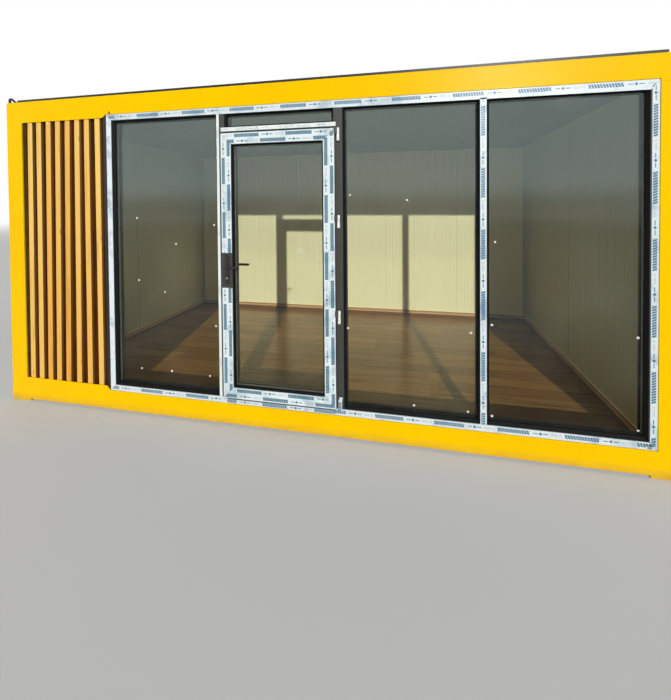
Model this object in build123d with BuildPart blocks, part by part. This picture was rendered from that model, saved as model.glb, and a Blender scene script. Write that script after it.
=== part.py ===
"""Shipping container cabin with a glazed front, a slatted bay and one hinged door.

Sizes are in millimetres. The origin is at the bottom centre of the whole cabin's box, with
+Z up, +X to the right seen from the front, and the glazed front facing -Y.
"""

import os
from math import atan2, degrees

from build123d import *

# Steel ring frame
LENGTH = 5170.0
DEPTH = 2440.0
FRAME_HEIGHT = 2600.0
POST = 160.0
BEAM_HEIGHT = 154.0
FOOT_HEIGHT = 17.0
FOOT_SIZE = 200.0

# Lifting eyes on the roof corners
EYE_BAR = 18.0
EYE_SPAN = 74.0
EYE_HEIGHT = 38.0
EYE_CROWN = 22.0
EYE_INSET = 15.0
EYE_BEND = 9.0

# Roof
ROOF_SHEET = 3.0
RIB_PITCH = 250.0
RIB_HEIGHT = 12.0
RIB_FOOT = 60.0
RIB_CROWN = 30.0
TRIM_HEIGHT = 18.0
TRIM_WIDTH = 45.0
TRIM_END_GAP = 12.0
CEILING_PANEL = 80.0

# Walls and floor
WALL_PANEL = 100.0
BAY_PANEL = 60.0
FLOOR_LEVEL = 93.0
FLOOR_BOARD = 18.0
LAMINATE = 8.0
JOIST_WIDTH = 60.0
JOIST_SPACING = 500.0
SKIRTING_HEIGHT = 80.0
SKIRTING_THICK = 14.0
SKIRTING_JOINT = 0.5

# Slatted bay
SLAT_BAY_WIDTH = 864.0
SLAT_WIDTH = 50.0
SLAT_THICK = 20.0
SLAT_RECESS = 8.0
SLAT_PITCH = 100.0
FIRST_SLAT = 59.0
SLAT_END_ROOM = 43.0
SLAT_HEAD_SHIFT = (18, 11, 13, 11, 11, 9, 5, 12)
SLAT_FOOT_SHIFT = (-3, -10, -15, -24, -25, -14, -3, 10)
BACKING_BOARD = 12.0
LOWER_RAIL = 36.0
UPPER_RAIL = 26.0
RAIL_PLATE = 5.0
FILLER_WIDTH = 34.0

# Window wall
FRAME_RECESS = 5.0
FRAME_THICK = 70.0
FRAME_FACE = 50.0
LEFT_PANE = 954.0
MIDDLE_PANE = 941.0
LOCK_MULLION = 64.0
HINGE_MULLION = 66.0
PLAIN_MULLION = 44.0
TRANSOM_FACE = 59.0
TRANSOM_PANE = 111.0
BEAD_WIDTH = 18.0
BEAD_FALL = 12.0
BEAD_BACK = 8.0
BEAD_RECESS = 7.0
BEAD_FLAT = 3.0
GLASS_THICK = 24.0
GLASS_EDGE_GAP = 3.0

# Door leaf
LEAF_WIDTH = 893.0
LEAF_FOOT_LEVEL = 212.0
LEAF_FACE = 86.0
LEAF_LIP = 20.0
LEAF_BODY = 50.0
LEAF_LAP = 14.0
LEAF_GAP = 9.0
LEAF_BEAD = 12.0
LEAF_BEAD_RECESS = 6.0
LEAF_BEAD_FALL = 8.0

# Hinges
HINGE_OFFSET = 25.0
HINGE_STAND = 14.0
HINGE_RADIUS = 10.0
HINGE_PIN = 4.0
HINGE_PIN_GAP = 0.1
HINGE_HEIGHT = 92.0
HINGE_SPLIT = 1.0
HINGE_TOP_DROP = 46.0
HINGE_MIDDLE_DROP = 669.0
HINGE_FOOT_RISE = 670.0
FLAP_THICK = 4.0
FLAP_REACH = 5.0
NECK_WIDTH = 10.0
PLATE_REACH = 12.0

# Lock and handle
HANDLE_LEVEL = 1222.0
HANDLE_BACKSET = 45.0
PLATE_WIDTH = 34.0
PLATE_HEIGHT = 230.0
PLATE_THICK = 4.0
PLATE_CORNER = 8.0
PLATE_RISE = 20.0
NECK_RADIUS = 9.0
NECK_GAP = 0.1
SPINDLE = 8.0
SPINDLE_HOLE = 24.0
LEVER_STAND = 28.0
LEVER_LENGTH = 128.0
LEVER_HEIGHT = 18.0
LEVER_THICK = 9.0
LEVER_EDGE = 3.0
CYLINDER_DROP = 85.0
CYLINDER_RADIUS = 8.5
CYLINDER_PROUD = 5.0

# Places worked out from the sizes above
door_reach = LEAF_LIP + PLATE_THICK + LEVER_STAND + LEVER_THICK
front = -(DEPTH + door_reach) / 2 + door_reach
back = front + DEPTH
left = -LENGTH / 2
right = LENGTH / 2
underside = FOOT_HEIGHT
top = underside + FRAME_HEIGHT
sill_level = underside + BEAM_HEIGHT
head_level = top - BEAM_HEIGHT
floor_top = underside + FLOOR_LEVEL
inner_left = left + POST
inner_right = right - POST
inner_front = front + POST
inner_back = back - POST

frame_front = front + FRAME_RECESS
frame_back = frame_front + FRAME_THICK
bead_front = frame_front + BEAD_RECESS
glass_front = bead_front + BEAD_FALL + BEAD_BACK
glass_back = glass_front + GLASS_THICK

window_left = inner_left + SLAT_BAY_WIDTH
window_right = inner_right
pane_left_x = (window_left + FRAME_FACE, window_left + FRAME_FACE + LEFT_PANE)
lock_mullion_x = (pane_left_x[1], pane_left_x[1] + LOCK_MULLION)
door_opening = LEAF_WIDTH - 2 * LEAF_LAP
hinge_mullion_x = (lock_mullion_x[1] + door_opening, lock_mullion_x[1] + door_opening + HINGE_MULLION)
pane_middle_x = (hinge_mullion_x[1], hinge_mullion_x[1] + MIDDLE_PANE)
plain_mullion_x = (pane_middle_x[1], pane_middle_x[1] + PLAIN_MULLION)
pane_right_x = (plain_mullion_x[1], window_right - FRAME_FACE)
pane_z = (sill_level + FRAME_FACE, head_level - FRAME_FACE)

leaf_x = (lock_mullion_x[1] - LEAF_LAP, hinge_mullion_x[0] + LEAF_LAP)
transom_z = (pane_z[1] - TRANSOM_PANE - TRANSOM_FACE, pane_z[1] - TRANSOM_PANE)
leaf_z = (underside + LEAF_FOOT_LEVEL, transom_z[0] + LEAF_LAP)
threshold_top = leaf_z[0] + LEAF_LAP
leaf_back = frame_front - FRAME_RECESS
leaf_front = leaf_back - LEAF_LIP
leaf_inside = leaf_back + LEAF_BODY
body_inset = LEAF_LAP + LEAF_GAP

hinge_x = leaf_x[1] + HINGE_OFFSET
hinge_y = leaf_back - HINGE_STAND
hinge_levels = (leaf_z[0] + HINGE_FOOT_RISE, leaf_z[1] - HINGE_MIDDLE_DROP, leaf_z[1] - HINGE_TOP_DROP)
handle_x = leaf_x[0] + HANDLE_BACKSET
handle_z = underside + HANDLE_LEVEL


def save(piece, name):
    """Label a finished piece and write it as one STEP file."""
    piece.part.label = name
    export_step(piece.part, f"parts/{name}.step")


def slab(x, y, z):
    """Add a box to the piece in hand, between two places on each axis."""
    with Locations(((x[0] + x[1]) / 2, (y[0] + y[1]) / 2, (z[0] + z[1]) / 2)):
        Box(x[1] - x[0], y[1] - y[0], z[1] - z[0])


def save_slab(name, x, y, z):
    """Make and save a piece that is one plain box."""
    with BuildPart() as piece:
        slab(x, y, z)
    save(piece, name)


def facing(depth):
    """Plane of the front at a depth, with the sketch's x to the right and its y downwards."""
    return Plane(origin=(0, depth, 0), x_dir=(1, 0, 0), z_dir=(0, 1, 0))


def mitred(side, x, z, face):
    """Corner points of one member of a rectangular frame whose corners are mitred."""
    outer = {"bottom_left": (x[0], z[0]), "bottom_right": (x[1], z[0]),
             "top_left": (x[0], z[1]), "top_right": (x[1], z[1])}
    inner = {"bottom_left": (x[0] + face, z[0] + face), "bottom_right": (x[1] - face, z[0] + face),
             "top_left": (x[0] + face, z[1] - face), "top_right": (x[1] - face, z[1] - face)}
    ends = {"bottom": ("bottom_left", "bottom_right"), "top": ("top_right", "top_left"),
            "left": ("top_left", "bottom_left"), "right": ("bottom_right", "top_right")}
    first, second = ends[side]
    corners = (outer[first], outer[second], inner[second], inner[first])
    return [(corner[0], -corner[1]) for corner in corners]


def ring(x, z, width, y):
    """Add a flat rectangular ring to the piece in hand, of a width, between two depths."""
    slab(x, y, z)
    with Locations(((x[0] + x[1]) / 2, (y[0] + y[1]) / 2, (z[0] + z[1]) / 2)):
        Box(x[1] - x[0] - 2 * width, y[1] - y[0], z[1] - z[0] - 2 * width, mode=Mode.SUBTRACT)


os.makedirs("parts", exist_ok=True)

# Corner posts, beams and feet of the steel ring frame
post_places = {
    "front_left": ((left, inner_left), (front, inner_front)),
    "front_right": ((inner_right, right), (front, inner_front)),
    "back_left": ((left, inner_left), (inner_back, back)),
    "back_right": ((inner_right, right), (inner_back, back)),
}
for corner, (post_x, post_y) in post_places.items():
    save_slab(f"corner_post_{corner}", post_x, post_y, (underside, top))

beam_levels = {"bottom": (underside, sill_level), "top": (head_level, top)}
for level, beam_z in beam_levels.items():
    save_slab(f"{level}_beam_front", (inner_left, inner_right), (front, inner_front), beam_z)
    save_slab(f"{level}_beam_back", (inner_left, inner_right), (inner_back, back), beam_z)
    with BuildPart() as side_beams:
        for beam_x in ((left, inner_left), (inner_right, right)):
            slab(beam_x, (inner_front, inner_back), beam_z)
    save(side_beams, f"{level}_beams_side")

with BuildPart() as corner_feet:
    for foot_x in ((left, left + FOOT_SIZE), (right - FOOT_SIZE, right)):
        for foot_y in ((front, front + FOOT_SIZE), (back - FOOT_SIZE, back)):
            slab(foot_x, foot_y, (0, underside))
save(corner_feet, "corner_feet")


def lifting_eye(depth):
    """One bent bar on a right roof corner: an upright leg, a short crown and a sloping leg."""
    start = right - EYE_INSET
    foot = top - EYE_BAR
    slope_run = (EYE_SPAN - EYE_CROWN) * (EYE_HEIGHT + EYE_BAR) / EYE_HEIGHT
    with BuildPart() as eye:
        with BuildLine() as path:
            FilletPolyline(
                (start, depth, foot),
                (start, depth, top + EYE_HEIGHT),
                (start - EYE_CROWN, depth, top + EYE_HEIGHT),
                (start - EYE_CROWN - slope_run, depth, foot),
                radius=EYE_BEND,
            )
        with BuildSketch(Plane(origin=(start, depth, foot), z_dir=(0, 0, 1))):
            Circle(EYE_BAR / 2)
        sweep(path=path.line)
        split(bisect_by=Plane.XY.offset(top), keep=Keep.TOP)
    return eye.part


with BuildPart() as lifting_eyes:
    for eye_depth in (front + EYE_INSET, back - EYE_INSET):
        add(lifting_eye(eye_depth))
    mirror(about=Plane.YZ)
save(lifting_eyes, "lifting_eyes")

# Roof sheet with trapezoid ribs, its edge trims and the ceiling panel
trim_end = EYE_INSET + EYE_SPAN + EYE_BAR + TRIM_END_GAP
trim_x = (left + trim_end, right - trim_end)
trim_y = (front + trim_end, back - trim_end)
sheet_x = (left + TRIM_WIDTH, right - TRIM_WIDTH)
sheet_y = (front + TRIM_WIDTH, back - TRIM_WIDTH)
rib_count = int((trim_x[1] - trim_x[0] - RIB_FOOT) // RIB_PITCH) + 1

with BuildPart() as roof_sheet:
    slab((trim_x[0], trim_x[1]), sheet_y, (top, top + ROOF_SHEET))
    slab(sheet_x, trim_y, (top, top + ROOF_SHEET))
    with BuildSketch(Plane.XZ.offset(-sheet_y[0])):
        with GridLocations(RIB_PITCH, 0, rib_count, 1):
            with Locations((0, top + ROOF_SHEET)):
                Polygon(
                    (-RIB_FOOT / 2, 0), (RIB_FOOT / 2, 0),
                    (RIB_CROWN / 2, RIB_HEIGHT), (-RIB_CROWN / 2, RIB_HEIGHT),
                    align=None,
                )
    extrude(amount=-(sheet_y[1] - sheet_y[0]))
save(roof_sheet, "roof_sheet")

with BuildPart() as roof_trim:
    for edge_y in ((front, sheet_y[0]), (sheet_y[1], back)):
        slab(trim_x, edge_y, (top, top + TRIM_HEIGHT))
    for edge_x in ((left, sheet_x[0]), (sheet_x[1], right)):
        slab(edge_x, trim_y, (top, top + TRIM_HEIGHT))
save(roof_trim, "roof_trim")

save_slab("ceiling_panel", (inner_left, inner_right), (inner_front, inner_back),
          (head_level, head_level + CEILING_PANEL))

# Floor of joists, boards and laminate, with its skirting
joist_top = floor_top - LAMINATE - FLOOR_BOARD
joist_count = int((inner_right - inner_left - JOIST_WIDTH) // JOIST_SPACING) + 1

with BuildPart() as floor_joists:
    with Locations((0, (inner_front + inner_back) / 2, (underside + joist_top) / 2)):
        with GridLocations(JOIST_SPACING, 0, joist_count, 1):
            Box(JOIST_WIDTH, inner_back - inner_front, joist_top - underside)
save(floor_joists, "floor_joists")

room_x = (inner_left, inner_right)
room_y = (inner_front, inner_back)
save_slab("floor_board", room_x, room_y, (joist_top, joist_top + FLOOR_BOARD))
save_slab("laminate_floor", room_x, room_y, (floor_top - LAMINATE, floor_top))

skirting_z = (floor_top, floor_top + SKIRTING_HEIGHT)
skirting_y = (inner_front, inner_back - SKIRTING_THICK - SKIRTING_JOINT)
with BuildPart() as skirting:
    slab(room_x, (inner_back - SKIRTING_THICK, inner_back), skirting_z)
    slab((inner_left, inner_left + SKIRTING_THICK), skirting_y, skirting_z)
    slab((inner_right - SKIRTING_THICK, inner_right), skirting_y, skirting_z)
save(skirting, "skirting")

# Insulated wall panels between the posts
wall_z = (sill_level, head_level)
save_slab("back_wall", room_x, (inner_back, inner_back + WALL_PANEL), wall_z)
save_slab("left_wall", (inner_left - WALL_PANEL, inner_left), room_y, wall_z)
save_slab("right_wall", (inner_right, inner_right + WALL_PANEL), room_y, wall_z)

# Slatted bay: panel, dark backing, slats, steel rails and the filler beside the window frame
slat_front = front + SLAT_RECESS
slat_back = slat_front + SLAT_THICK
backing_back = slat_back + BACKING_BOARD
filler_left = window_left - FILLER_WIDTH
save_slab("bay_wall_panel", (inner_left, filler_left), (backing_back, backing_back + BAY_PANEL), wall_z)
save_slab("bay_backing_board", (inner_left, filler_left), (slat_back, backing_back), wall_z)
save_slab("bay_filler_post", (filler_left, window_left), (slat_front, backing_back + BAY_PANEL), wall_z)

last_slat = filler_left - inner_left - SLAT_END_ROOM
slat_count = int((last_slat - FIRST_SLAT) // SLAT_PITCH) + 1
with BuildPart() as wood_slats:
    for number in range(slat_count):
        middle = inner_left + FIRST_SLAT + number * SLAT_PITCH
        head_middle = middle + SLAT_HEAD_SHIFT[number % len(SLAT_HEAD_SHIFT)]
        foot_middle = middle + SLAT_FOOT_SHIFT[number % len(SLAT_FOOT_SHIFT)]
        with BuildSketch(facing(slat_front)):
            Polygon(
                (foot_middle - SLAT_WIDTH / 2, -sill_level), (foot_middle + SLAT_WIDTH / 2, -sill_level),
                (head_middle + SLAT_WIDTH / 2, -head_level), (head_middle - SLAT_WIDTH / 2, -head_level),
                align=None,
            )
        extrude(amount=SLAT_THICK)
save(wood_slats, "wood_slats")

with BuildPart() as bay_rails:
    for seat, edge in ((sill_level, sill_level + LOWER_RAIL), (head_level, head_level - UPPER_RAIL)):
        with BuildSketch(facing(front)):
            Polygon(
                (inner_left, -seat), (window_left, -seat), (filler_left, -edge), (inner_left, -edge),
                align=None,
            )
        extrude(amount=RAIL_PLATE)
save(bay_rails, "bay_rails")

# Outer frame of the window wall, mitred at its corners
window_sides = {"window_head": "top", "window_sill": "bottom", "window_jamb_left": "left",
                "window_jamb_right": "right"}
for name, side in window_sides.items():
    with BuildPart() as member:
        with BuildSketch(facing(frame_front)):
            Polygon(*mitred(side, (window_left, window_right), wall_z, FRAME_FACE), align=None)
        extrude(amount=FRAME_THICK)
    save(member, name)

frame_y = (frame_front, frame_back)
save_slab("mullion_lock", lock_mullion_x, frame_y, pane_z)
save_slab("mullion_hinge", hinge_mullion_x, frame_y, pane_z)
save_slab("mullion_plain", plain_mullion_x, frame_y, pane_z)
door_x = (lock_mullion_x[1], hinge_mullion_x[0])
save_slab("transom_bar", door_x, frame_y, transom_z)
save_slab("door_threshold", door_x, frame_y, (pane_z[0], threshold_top))


def glazing_beads(x, z, width, y_front, fall, y_glass, y_inside):
    """The two bead rings that hold a pane: a sloping one outside and a square one inside."""
    slope = degrees(atan2(width - BEAD_FLAT, fall))
    with BuildPart() as beads:
        ring(x, z, width, (y_front, y_glass))
        with BuildSketch(facing(y_front)):
            with Locations(((x[0] + x[1]) / 2, -(z[0] + z[1]) / 2)):
                Rectangle(x[1] - x[0] - 2 * BEAD_FLAT, z[1] - z[0] - 2 * BEAD_FLAT)
        extrude(amount=fall, taper=slope, mode=Mode.SUBTRACT)
        ring(x, z, width, (y_glass + GLASS_THICK, y_inside))
    return beads.part


panes = {
    "left": (pane_left_x, pane_z),
    "middle": (pane_middle_x, pane_z),
    "right": (pane_right_x, pane_z),
    "transom": (door_x, (transom_z[1], pane_z[1])),
}
with BuildPart() as window_beads:
    for pane_x, this_z in panes.values():
        add(glazing_beads(pane_x, this_z, BEAD_WIDTH, bead_front, BEAD_FALL, glass_front, frame_back))
save(window_beads, "glazing_beads")
for place, (pane_x, this_z) in panes.items():
    save_slab(
        f"glass_{place}",
        (pane_x[0] + GLASS_EDGE_GAP, pane_x[1] - GLASS_EDGE_GAP),
        (glass_front, glass_back),
        (this_z[0] + GLASS_EDGE_GAP, this_z[1] - GLASS_EDGE_GAP),
    )

# Door leaf: four mitred members, each with a lip that laps the frame, and a body inside it
body_x = (leaf_x[0] + body_inset, leaf_x[1] - body_inset)
body_z = (leaf_z[0] + body_inset, leaf_z[1] - body_inset)
leaf_sides = {"leaf_rail_top": "top", "leaf_rail_bottom": "bottom", "leaf_stile_lock": "left",
              "leaf_stile_hinge": "right"}
for name, side in leaf_sides.items():
    with BuildPart() as member:
        with BuildSketch(facing(leaf_front)):
            Polygon(*mitred(side, leaf_x, leaf_z, LEAF_FACE), align=None)
        extrude(amount=LEAF_LIP)
        with BuildSketch(facing(leaf_back)):
            Polygon(*mitred(side, body_x, body_z, LEAF_FACE - body_inset), align=None)
        extrude(amount=LEAF_BODY)
        if side == "left":
            with BuildSketch(facing(leaf_front)):
                with Locations((handle_x, -handle_z)):
                    Circle(SPINDLE_HOLE / 2)
            extrude(amount=LEAF_LIP + LEAF_BODY, mode=Mode.SUBTRACT)
    save(member, name)

leaf_pane_x = (leaf_x[0] + LEAF_FACE, leaf_x[1] - LEAF_FACE)
leaf_pane_z = (leaf_z[0] + LEAF_FACE, leaf_z[1] - LEAF_FACE)
leaf_bead_front = leaf_front + LEAF_BEAD_RECESS
leaf_glass_front = leaf_bead_front + LEAF_BEAD_FALL + BEAD_BACK
with BuildPart() as leaf_beads:
    add(glazing_beads(leaf_pane_x, leaf_pane_z, LEAF_BEAD, leaf_bead_front, LEAF_BEAD_FALL,
                      leaf_glass_front, leaf_inside))
save(leaf_beads, "leaf_beads")
save_slab(
    "leaf_glass",
    (leaf_pane_x[0] + GLASS_EDGE_GAP, leaf_pane_x[1] - GLASS_EDGE_GAP),
    (leaf_glass_front, leaf_glass_front + GLASS_THICK),
    (leaf_pane_z[0] + GLASS_EDGE_GAP, leaf_pane_z[1] - GLASS_EDGE_GAP),
)

# Hinges: a lower knuckle with its pin on the mullion, and an upper knuckle on the leaf
knuckle = (HINGE_HEIGHT - HINGE_SPLIT) / 2
neck_x = (hinge_x - NECK_WIDTH / 2, hinge_x + NECK_WIDTH / 2)
plate_side_x = (hinge_x, hinge_x + PLATE_REACH)
flap_x = (leaf_x[1] - FLAP_REACH, hinge_x)
with BuildPart() as hinge_fixed_halves:
    for level in hinge_levels:
        foot = level - HINGE_HEIGHT / 2
        with BuildSketch(Plane.XY.offset(foot)):
            with Locations((hinge_x, hinge_y)):
                Circle(HINGE_RADIUS)
        extrude(amount=knuckle)
        with BuildSketch(Plane.XY.offset(foot)):
            with Locations((hinge_x, hinge_y)):
                Circle(HINGE_PIN)
        extrude(amount=HINGE_HEIGHT)
        slab(neck_x, (hinge_y, frame_front), (foot, foot + knuckle))
        slab(plate_side_x, (frame_front - FLAP_THICK, frame_front), (foot, foot + knuckle))
save(hinge_fixed_halves, "hinge_fixed_halves")

with BuildPart() as hinge_moving_halves:
    for level in hinge_levels:
        foot = level + HINGE_SPLIT / 2
        with BuildSketch(Plane.XY.offset(foot)):
            with Locations((hinge_x, hinge_y)):
                Circle(HINGE_RADIUS)
        extrude(amount=knuckle)
        slab(flap_x, (leaf_front - FLAP_THICK, leaf_front), (foot, foot + knuckle))
        with BuildSketch(Plane.XY.offset(foot)):
            with Locations((hinge_x, hinge_y)):
                Circle(HINGE_PIN + HINGE_PIN_GAP)
        extrude(amount=knuckle, mode=Mode.SUBTRACT)
save(hinge_moving_halves, "hinge_moving_halves")

# Lock plates and key cylinder on the leaf, and the levers on their spindle
plate_x = (handle_x - PLATE_WIDTH / 2, handle_x + PLATE_WIDTH / 2)
plate_top = handle_z + PLATE_HEIGHT / 2 - PLATE_RISE
plate_z = (plate_top - PLATE_HEIGHT, plate_top)
plate_fronts = (leaf_front - PLATE_THICK, leaf_inside)
with BuildPart() as lock_plates:
    for plate_front in plate_fronts:
        slab(plate_x, (plate_front, plate_front + PLATE_THICK), plate_z)
    fillet(lock_plates.edges().filter_by(Axis.Y), PLATE_CORNER)
    for plate_front in plate_fronts:
        with BuildSketch(facing(plate_front)):
            with Locations((handle_x, -handle_z)):
                Circle(NECK_RADIUS + NECK_GAP)
        extrude(amount=PLATE_THICK, mode=Mode.SUBTRACT)
save(lock_plates, "lock_plates")

cylinder_z = handle_z - CYLINDER_DROP
with BuildPart() as key_cylinder:
    for cylinder_front in (leaf_front - PLATE_THICK - CYLINDER_PROUD, leaf_inside + PLATE_THICK):
        with BuildSketch(facing(cylinder_front)):
            with Locations((handle_x, -cylinder_z)):
                Circle(CYLINDER_RADIUS)
        extrude(amount=CYLINDER_PROUD)
save(key_cylinder, "key_cylinder")


def lever(name, y_seat, outward):
    """A lever with a round neck that runs in its plate and an arm that points to the hinges."""
    reach = PLATE_THICK + LEVER_STAND
    y_neck = (y_seat, y_seat + outward * reach)
    y_arm = (y_neck[1], y_neck[1] + outward * LEVER_THICK)
    with BuildPart() as piece:
        with BuildSketch(facing(min(y_neck))):
            with Locations((handle_x, -handle_z)):
                Circle(NECK_RADIUS)
        extrude(amount=reach)
        with BuildSketch(facing(min(y_arm))):
            with Locations((handle_x + (LEVER_LENGTH - LEVER_HEIGHT) / 2, -handle_z)):
                SlotOverall(LEVER_LENGTH, LEVER_HEIGHT)
        extrude(amount=LEVER_THICK)
        fillet(piece.edges().group_by(Axis.Y)[0 if outward < 0 else -1], LEVER_EDGE)
    save(piece, name)


lever("lever_outside", leaf_front, -1)
lever("lever_inside", leaf_inside, 1)

with BuildPart() as spindle:
    slab((handle_x - SPINDLE / 2, handle_x + SPINDLE / 2), (leaf_front, leaf_inside),
         (handle_z - SPINDLE / 2, handle_z + SPINDLE / 2))
save(spindle, "lever_spindle")
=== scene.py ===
"""Looks of a yellow cabin with a glazed front, a slatted bay and a hinged glazed door.

Lengths are in metres in the cabin's own frame: +Z up, +X to the right seen from the front, and the
glazed front facing -Y. Each class makes one kind of finish, or dresses and builds one sub-assembly.
"""

import logging
import math
from contextlib import contextmanager
from dataclasses import dataclass, field
from enum import Enum
from typing import Any, Callable, Dict, Iterator, List, Optional, Sequence, Tuple, Union

import bpy
from mathutils import Matrix, Vector


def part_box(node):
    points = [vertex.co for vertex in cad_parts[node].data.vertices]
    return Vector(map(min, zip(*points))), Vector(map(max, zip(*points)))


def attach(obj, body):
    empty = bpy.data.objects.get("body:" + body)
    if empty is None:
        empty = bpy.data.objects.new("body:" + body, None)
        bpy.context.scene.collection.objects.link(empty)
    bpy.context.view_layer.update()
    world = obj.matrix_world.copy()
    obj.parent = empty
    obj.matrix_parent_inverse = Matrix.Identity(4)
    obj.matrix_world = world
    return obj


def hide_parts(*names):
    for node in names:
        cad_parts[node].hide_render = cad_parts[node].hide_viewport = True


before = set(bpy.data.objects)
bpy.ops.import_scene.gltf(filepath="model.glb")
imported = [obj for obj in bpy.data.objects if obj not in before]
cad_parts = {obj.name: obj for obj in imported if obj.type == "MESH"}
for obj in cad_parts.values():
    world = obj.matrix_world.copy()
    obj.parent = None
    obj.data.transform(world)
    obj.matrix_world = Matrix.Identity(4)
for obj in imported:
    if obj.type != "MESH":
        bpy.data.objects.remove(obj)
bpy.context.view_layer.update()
MM = 0.001
NEAR = 0.1 * MM  # places closer than this count as one
WELD_REACH = 0.02 * MM  # loose corners closer than this are joined before their edges are rounded
WHOLE = 0.001  # a count that is over a whole number by less than this counts as whole
FACING = 0.9  # the least share of a face's normal along a direction that it looks in
SHARP = math.radians(40)  # edges that turn by more than this are rounded

log = logging.getLogger("cabin")
Colour = Tuple[float, float, float]
Span = Tuple[float, float]
Number = Union[int, float, "Channel"]
Inputs = Dict[Union[int, str], Any]
FaceTest = Callable[[bpy.types.MeshPolygon], bool]
PointTest = Callable[[Vector], bool]


class Body(Enum):
    """The moving bodies that new pieces ride on."""

    CABIN = "cabin"
    DOOR = "door"


class Slot(Enum):
    """The record's material slots, one of which is named with each new piece where it has one."""

    DARK_STEEL = "dark_steel"
    PANEL = "wall_panel"
    SKIRTING = "skirting"
    BACKING = "backing_board"
    GLASS = "glass"
    HANDLE = "handle_metal"
    CYLINDER = "cylinder_metal"


class FilmLook(Enum):
    """How a strip of film looks."""

    PRINTED = "printed"
    DOUBLE = "double"
    WHITE = "white"
    STREAKED = "streaked"
    FAINT = "faint"


class Axis(Enum):
    """The three directions of the cabin's frame."""

    X = 0
    Y = 1
    Z = 2


def paint(red: int, green: int, blue: int) -> Colour:
    """Turn a colour as a screen shows it into the linear one that shaders use.

    Args:
        red: Red from 0 to 255.
        green: Green from 0 to 255.
        blue: Blue from 0 to 255.

    Returns:
        The linear red, green and blue.
    """

    def linear(level: int) -> float:
        """Undo the screen's curve for one channel."""
        share = level / 255
        return share / 12.92 if share <= 0.04045 else ((share + 0.055) / 1.055) ** 2.4

    return linear(red), linear(green), linear(blue)


def overload(operation: str, swapped: bool = False) -> Callable[["Channel", Number], "Channel"]:
    """Make an operator that adds one Math node.

    Args:
        operation: The Math node's operation.
        swapped: Whether the channel is the second value, as in a reflected form.

    Returns:
        The operator.
    """

    def apply(channel: "Channel", other: Number) -> "Channel":
        """Add the node for a channel and another value."""
        return channel.graph.maths(operation, *((other, channel) if swapped else (channel, other)))

    return apply


class Channel:
    """One output of a shader node, written in formulas like a number."""

    __add__ = __radd__ = overload("ADD")
    __mul__ = __rmul__ = overload("MULTIPLY")
    __sub__ = overload("SUBTRACT")
    __rsub__ = overload("SUBTRACT", swapped=True)
    __truediv__ = overload("DIVIDE")
    __pow__ = overload("POWER")
    __mod__ = overload("FLOORED_MODULO")
    __gt__ = overload("GREATER_THAN")
    __lt__ = overload("LESS_THAN")

    def __init__(self, graph: "Graph", socket: bpy.types.NodeSocket) -> None:
        """Hold the socket and the graph that new nodes go to."""
        self.graph = graph
        self.socket = socket

    def __abs__(self) -> "Channel":
        """Size without sign."""
        return self.graph.maths("ABSOLUTE", self)

    def floor(self) -> "Channel":
        """Whole part."""
        return self.graph.maths("FLOOR", self)

    def beside(self, output: Union[int, str]) -> "Channel":
        """Another output of the same node."""
        return Channel(self.graph, self.socket.node.outputs[output])

    def between(self, low: float, high: float) -> "Channel":
        """One inside a span, else nought."""
        return (self > low) * (self < high)

    def ramp(self, low: float, high: float) -> "Channel":
        """Rise smoothly from nought at one level to one at another, which may be the lower of the two."""
        settings = {"interpolation_type": "SMOOTHSTEP"}
        return self.graph.node("ShaderNodeMapRange", settings, {0: self, 1: low, 2: high})


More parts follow.
